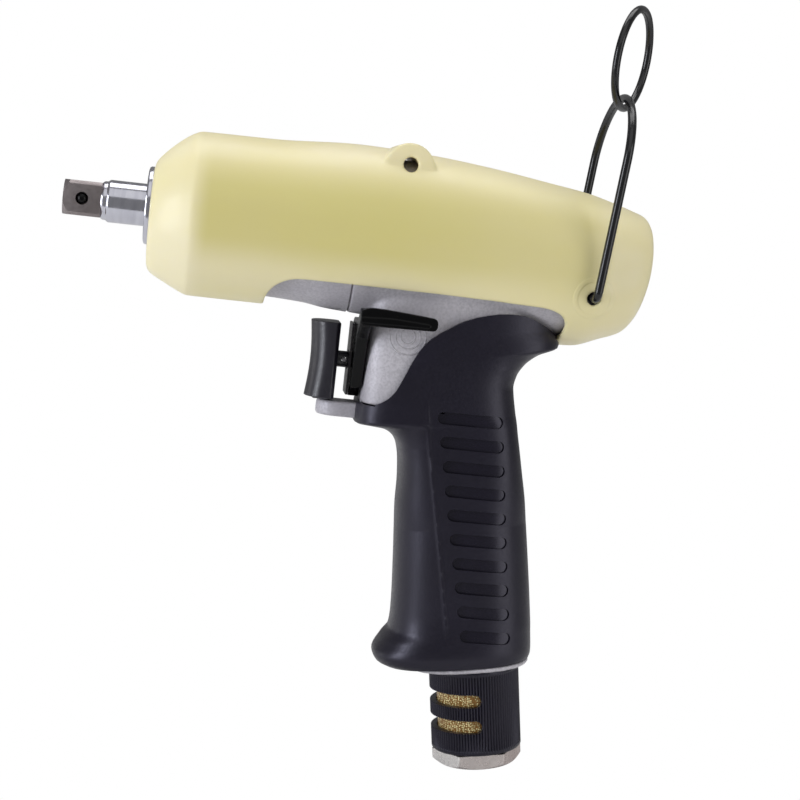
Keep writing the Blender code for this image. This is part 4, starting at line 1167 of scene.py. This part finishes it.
def bail():
    leg = BAIL_HEIGHT - BAIL_ARCH
    bend = 2.6
    half = [(15.6, 0), (17.0, 0), (19.0, 0), (BAIL_HALF_WIDTH - bend, 0)]
    half += arc((BAIL_HALF_WIDTH - bend, bend), bend, -80, 0, 9)
    half += [(BAIL_HALF_WIDTH, bend + (leg - bend) * i / 8) for i in range(1, 8)]
    arch = [
        (BAIL_HALF_WIDTH * math.cos(a), leg + BAIL_ARCH * math.sin(a))
        for a in np.linspace(0, math.pi, 61)
    ]
    path = half + arch + [(-y, d) for y, d in reversed(half)]
    points = [BAIL_PIVOT + RIGHT * float(y) + BAIL_UP * float(d) for y, d in path]
    bent = wire("hanger_bail_wire", points, BAIL_WIRE)
    finished(bent, "black_wire", "bail", "black_wire", "hanger_bail")


def ring():
    """Round ring that hangs under the crown of the bail, turned a little from square to it."""
    up = Vector((math.sin(RING_LEAN), 0, math.cos(RING_LEAN)))
    forward = Vector((-math.cos(RING_LEAN), 0, math.sin(RING_LEAN)))
    across = forward * math.sin(RING_TWIST) - RIGHT * math.cos(RING_TWIST)
    crown = BAIL_PIVOT + BAIL_UP * BAIL_HEIGHT
    centre = crown + up * (RING_RADIUS - BAIL_WIRE - RING_WIRE - GAP)
    points = []
    for angle in np.linspace(0, 2 * math.pi, 96, endpoint=False):
        points.append(centre + (across * math.cos(angle) + up * math.sin(angle)) * RING_RADIUS)
    round_wire = wire("hanger_ring_wire", points, RING_WIRE, True)
    finished(round_wire, "black_wire", "ring", "black_wire", "hanger_ring")


# ---------------------------------------------------------------- carried-over CAD nodes

def dress_cad_nodes():
    """CAD nodes that stay as they are take the look of their material slot."""
    slot_of = {part["node"]: part["material_slot"] for part in frame["record"]["subparts"]}
    for name, node in frame["nodes"].items():
        look = "brass_mesh" if name == "exhaust_mesh" else slot_of[name]
        node.data.materials.clear()
        node.data.materials.append(LOOKS[look])
        smooth(node, 30)


# ---------------------------------------------------------------- stage

def white_to_camera(tree, white, lit, surface):
    """Shows the camera the white shader, and every other ray the lit one."""
    path = tree.nodes.new("ShaderNodeLightPath")
    mix = tree.nodes.new("ShaderNodeMixShader")
    tree.links.new(path.outputs["Is Camera Ray"], mix.inputs[0])
    tree.links.new(lit.outputs[0], mix.inputs[1])
    tree.links.new(white.outputs[0], mix.inputs[2])
    tree.links.new(mix.outputs[0], surface)


def stage():
    """A floor that the camera sees as white. It ends close in front, where the studio is dark."""
    reach = 4.0
    front = -0.2
    height = -0.1525
    corners = [(-reach, front), (reach, front), (reach, reach), (-reach, reach)]
    mesh = bpy.data.meshes.new("floor")
    mesh.from_pydata([(x, y, height) for x, y in corners], [], [(0, 1, 2, 3)])
    floor = new_object("floor", mesh)
    paint = bpy.data.materials.new("floor_white")
    paint.use_nodes = True
    tree = paint.node_tree
    matte = tree.nodes["Principled BSDF"]
    matte.inputs["Base Color"].default_value = (0.93, 0.93, 0.93, 1)
    matte.inputs["Roughness"].default_value = 0.8
    glow = tree.nodes.new("ShaderNodeEmission")
    white_to_camera(tree, glow, matte, tree.nodes["Material Output"].inputs["Surface"])
    mesh.materials.append(paint)


def world():
    """White behind the part, and an even grey in what lights it."""
    backdrop = bpy.data.worlds.new("backdrop")
    bpy.context.scene.world = backdrop
    backdrop.use_nodes = True
    tree = backdrop.node_tree
    tree.nodes.clear()
    output = tree.nodes.new("ShaderNodeOutputWorld")
    shades = []
    for strength in (1.0, 0.25):
        shade = tree.nodes.new("ShaderNodeBackground")
        shade.inputs["Color"].default_value = (1, 1, 1, 1)
        shade.inputs["Strength"].default_value = strength
        shades.append(shade)
    white, grey = shades
    white_to_camera(tree, white, grey, output.inputs["Surface"])


def lamp(name, place, target, size, power, tint=(1, 1, 1)):
    """A rectangular lamp of a width and height, in metres, turned toward a target."""
    data = bpy.data.lights.new(name, "AREA")
    data.shape = "RECTANGLE"
    data.size, data.size_y = size
    data.energy = power
    data.color = tint
    place = Vector(place)
    turn = (Vector(target) - place).to_track_quat("-Z", "Y").to_matrix().to_4x4()
    new_object(name, data).matrix_world = Matrix.Translation(place) @ turn


def lights():
    middle = (0.08, 0.0, -0.03)
    grip_side = (0.12, -0.015, -0.08)
    lamp("key", (0.0, -0.5, 0.6), middle, (1.0, 0.7), 1.5)
    lamp("top", (0.1, 0.16, 0.75), middle, (0.9, 0.45), 3.4)
    lamp("left", (-0.7, -0.38, -0.04), grip_side, (0.28, 0.7), 5.3, (0.9, 0.93, 1.0))
    lamp("left_rim", (-0.75, 0.38, -0.22), grip_side, (0.3, 0.4), 0.7)
    lamp("right", (0.78, -0.55, 0.0), grip_side, (0.45, 0.9), 2.3)


def camera():
    """The photograph's camera, found from the outlines of the tool."""
    place = (0.0464, -0.5291, 0.0068)
    right = Vector((0.9901, -0.0864, 0.1103)).normalized()
    forward = Vector((0.0976, 0.9902, -0.1002)).normalized()
    up = right.cross(forward).normalized()
    turn = Matrix((right, up, -forward)).transposed().to_4x4()
    data = bpy.data.cameras.new("camera")
    data.lens = 85.05
    data.sensor_width = 36
    data.clip_start = 0.01
    obj = new_object("camera", data)
    obj.matrix_world = Matrix.Translation(place) @ turn
    bpy.context.scene.camera = obj
    bpy.context.scene.view_settings.view_transform = "Standard"


# ---------------------------------------------------------------- build

dress_cad_nodes()
cover()
front_casting()
rear_casting()
grip()
drive()
nose()
trigger()
lever_plate()
reverse_lever()
exhaust_sleeve()
inlet()
bail()
ring()
stage()
world()
lights()
camera()
